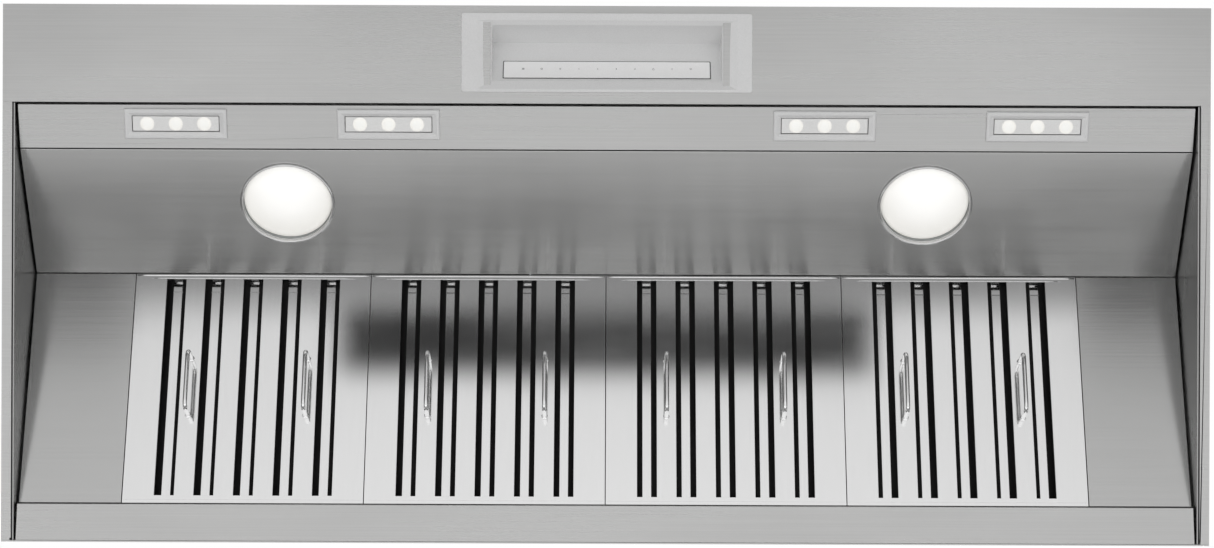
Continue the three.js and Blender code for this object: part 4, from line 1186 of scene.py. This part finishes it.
class HOOD_OT_stage(bpy.types.Operator):
    """Pale floor, soft lights and the camera that looks straight up at the hood"""

    bl_idname = "hood.stage"
    bl_label = "Stage, lights and camera"

    def execute(self, context):
        stage = context.scene.hood_stage
        context.scene.view_settings.view_transform = "Standard"
        self.add_floor(stage)
        self.add_world(stage)
        middle = (0.0, 0.0, RIM_Z + 0.2)
        add_softbox("overhead", (0.0, 0.0, 2.2), (0.0, 0.0, -5.0), (7.0, 7.0), 700.0)
        add_softbox("front_left", (-3.6, -3.4, 0.2), middle, (2.6, 2.6), 60.0)
        add_softbox("front_right", (3.8, -2.6, 0.0), middle, (2.0, 3.0), 40.0)
        spot = Vector((0.0, 0.052, RIM_Z + 0.100)) + FILTER_MIRROR
        behind_spot = spot + 0.01 * FILTER_MIRROR
        add_card("grey_card", behind_spot, FILTER_MIRROR, 1.6, -0.9, 0.036, 0.25, (0.1, 0.1, 0.08))
        add_card("dark_card", spot, FILTER_MIRROR, 0.44, -0.030, 0.128, 0.025, (0.07, 0.05, 0.06))
        for side, sign in zip(SIDES, (-1, 1)):
            beside = spot + Vector((sign * 1.0, 0.0, 0.0)) - 0.01 * FILTER_MIRROR
            add_card(f"side_card_{side}", beside, FILTER_MIRROR, 0.29, -0.9, 0.095, 0.05, (0.03, 0.1, 0.12))
        behind = (0.0, 0.46, RIM_Z - 0.32)
        add_card("rear_card", behind, (0.0, 1.0, 0.0), 1.3, -0.17, 0.11, 1.15, (0.1, 0.03, 0.06))
        self.add_camera(context, stage)
        return {"FINISHED"}

    def add_floor(self, stage):
        bm = bmesh.new()
        bmesh.ops.create_grid(bm, x_segments=2, y_segments=2, size=40.0)
        bm.transform(Matrix.Translation((0.0, 0.0, RIM_Z - stage.floor_drop)))
        floor = placed("floor", mesh_of(bm, "floor"))
        new_material("floor_paint", Base_Color=(0.82, 0.82, 0.82, 1.0), Roughness=0.9)
        floor.data.materials.append(MATERIALS["floor_paint"])

    def add_world(self, stage):
        """Even fill all round, and plain white behind the hood."""
        world = bpy.data.worlds.new("studio")
        world.use_nodes = True
        tree = world.node_tree
        tree.nodes.clear()
        seen = add_node(tree, "ShaderNodeBackground", Color=(1.0, 1.0, 1.0, 1.0), Strength=1.0)
        fill = add_node(tree, "ShaderNodeBackground", Color=(1.0, 1.0, 1.0, 1.0), Strength=stage.world_fill)
        path = add_node(tree, "ShaderNodeLightPath")
        mix = add_node(
            tree, "ShaderNodeMixShader", i0=path.outputs["Is Camera Ray"], i1=fill.outputs[0], i2=seen.outputs[0]
        )
        out = tree.nodes.new("ShaderNodeOutputWorld")
        tree.links.new(mix.outputs[0], out.inputs["Surface"])
        bpy.context.scene.world = world

    def add_camera(self, context, stage):
        data = bpy.data.cameras.new("view_from_below")
        data.lens = stage.lens
        data.sensor_width = 36.0
        data.clip_start = 0.05
        data.clip_end = 100.0
        camera = placed("view_from_below", data)
        roll = math.radians(0.22)
        right = Vector((math.cos(roll), -math.sin(roll), 0.0))
        up = Vector((-math.sin(roll), -math.cos(roll), 0.0))
        turn = Matrix((right, up, Vector((0.0, 0.0, -1.0)))).transposed().to_4x4()
        camera.matrix_world = Matrix.Translation((1.1 * MM, -1.0 * MM, RIM_Z - stage.camera_drop)) @ turn
        context.scene.camera = camera


# ---- add-on -----------------------------------------------------------------------------------------------
class HOOD_OT_finishes(bpy.types.Operator):
    """Builds the shared effects and the materials"""

    bl_idname = "hood.finishes"
    bl_label = "Finishes"

    def execute(self, context):
        build_materials(context.scene.hood_finishes)
        return {"FINISHED"}


PIECES = [
    HOOD_OT_canopy,
    HOOD_OT_filters,
    HOOD_OT_heat_lamps,
    HOOD_OT_light_bars,
    HOOD_OT_controls,
    HOOD_OT_blower,
    HOOD_OT_electrics,
    HOOD_OT_chimney,
]


class HOOD_PT_panel(bpy.types.Panel):
    """Lists the hood's pieces"""

    bl_idname = "HOOD_PT_panel"
    bl_label = "Range Hood"
    bl_space_type = "VIEW_3D"
    bl_region_type = "UI"
    bl_category = "Range Hood"

    def draw(self, context):
        for settings in (context.scene.hood_finishes, context.scene.hood_sizes, context.scene.hood_stage):
            for name in settings.bl_rna.properties.keys():
                if name not in ("rna_type", "name"):
                    self.layout.prop(settings, name)
        for operator in [HOOD_OT_finishes, HOOD_OT_stage, *PIECES]:
            self.layout.operator(operator.bl_idname)


CLASSES = [HoodFinishes, HoodSizes, HoodStage, HOOD_OT_finishes, HOOD_OT_stage, *PIECES, HOOD_PT_panel]


def register():
    for one in CLASSES:
        bpy.utils.register_class(one)
    bpy.types.Scene.hood_finishes = bpy.props.PointerProperty(type=HoodFinishes)
    bpy.types.Scene.hood_sizes = bpy.props.PointerProperty(type=HoodSizes)
    bpy.types.Scene.hood_stage = bpy.props.PointerProperty(type=HoodStage)


def unregister():
    for name in ("hood_finishes", "hood_sizes", "hood_stage"):
        delattr(bpy.types.Scene, name)
    for one in reversed(CLASSES):
        bpy.utils.unregister_class(one)


def main():
    register()
    bpy.ops.hood.finishes()
    bpy.ops.hood.stage()
    bpy.ops.hood.canopy()
    bpy.ops.hood.filters()
    bpy.ops.hood.heat_lamps()
    bpy.ops.hood.light_bars()
    bpy.ops.hood.controls()
    bpy.ops.hood.blower()
    bpy.ops.hood.electrics()
    bpy.ops.hood.chimney()


if __name__ == "__main__":
    main()
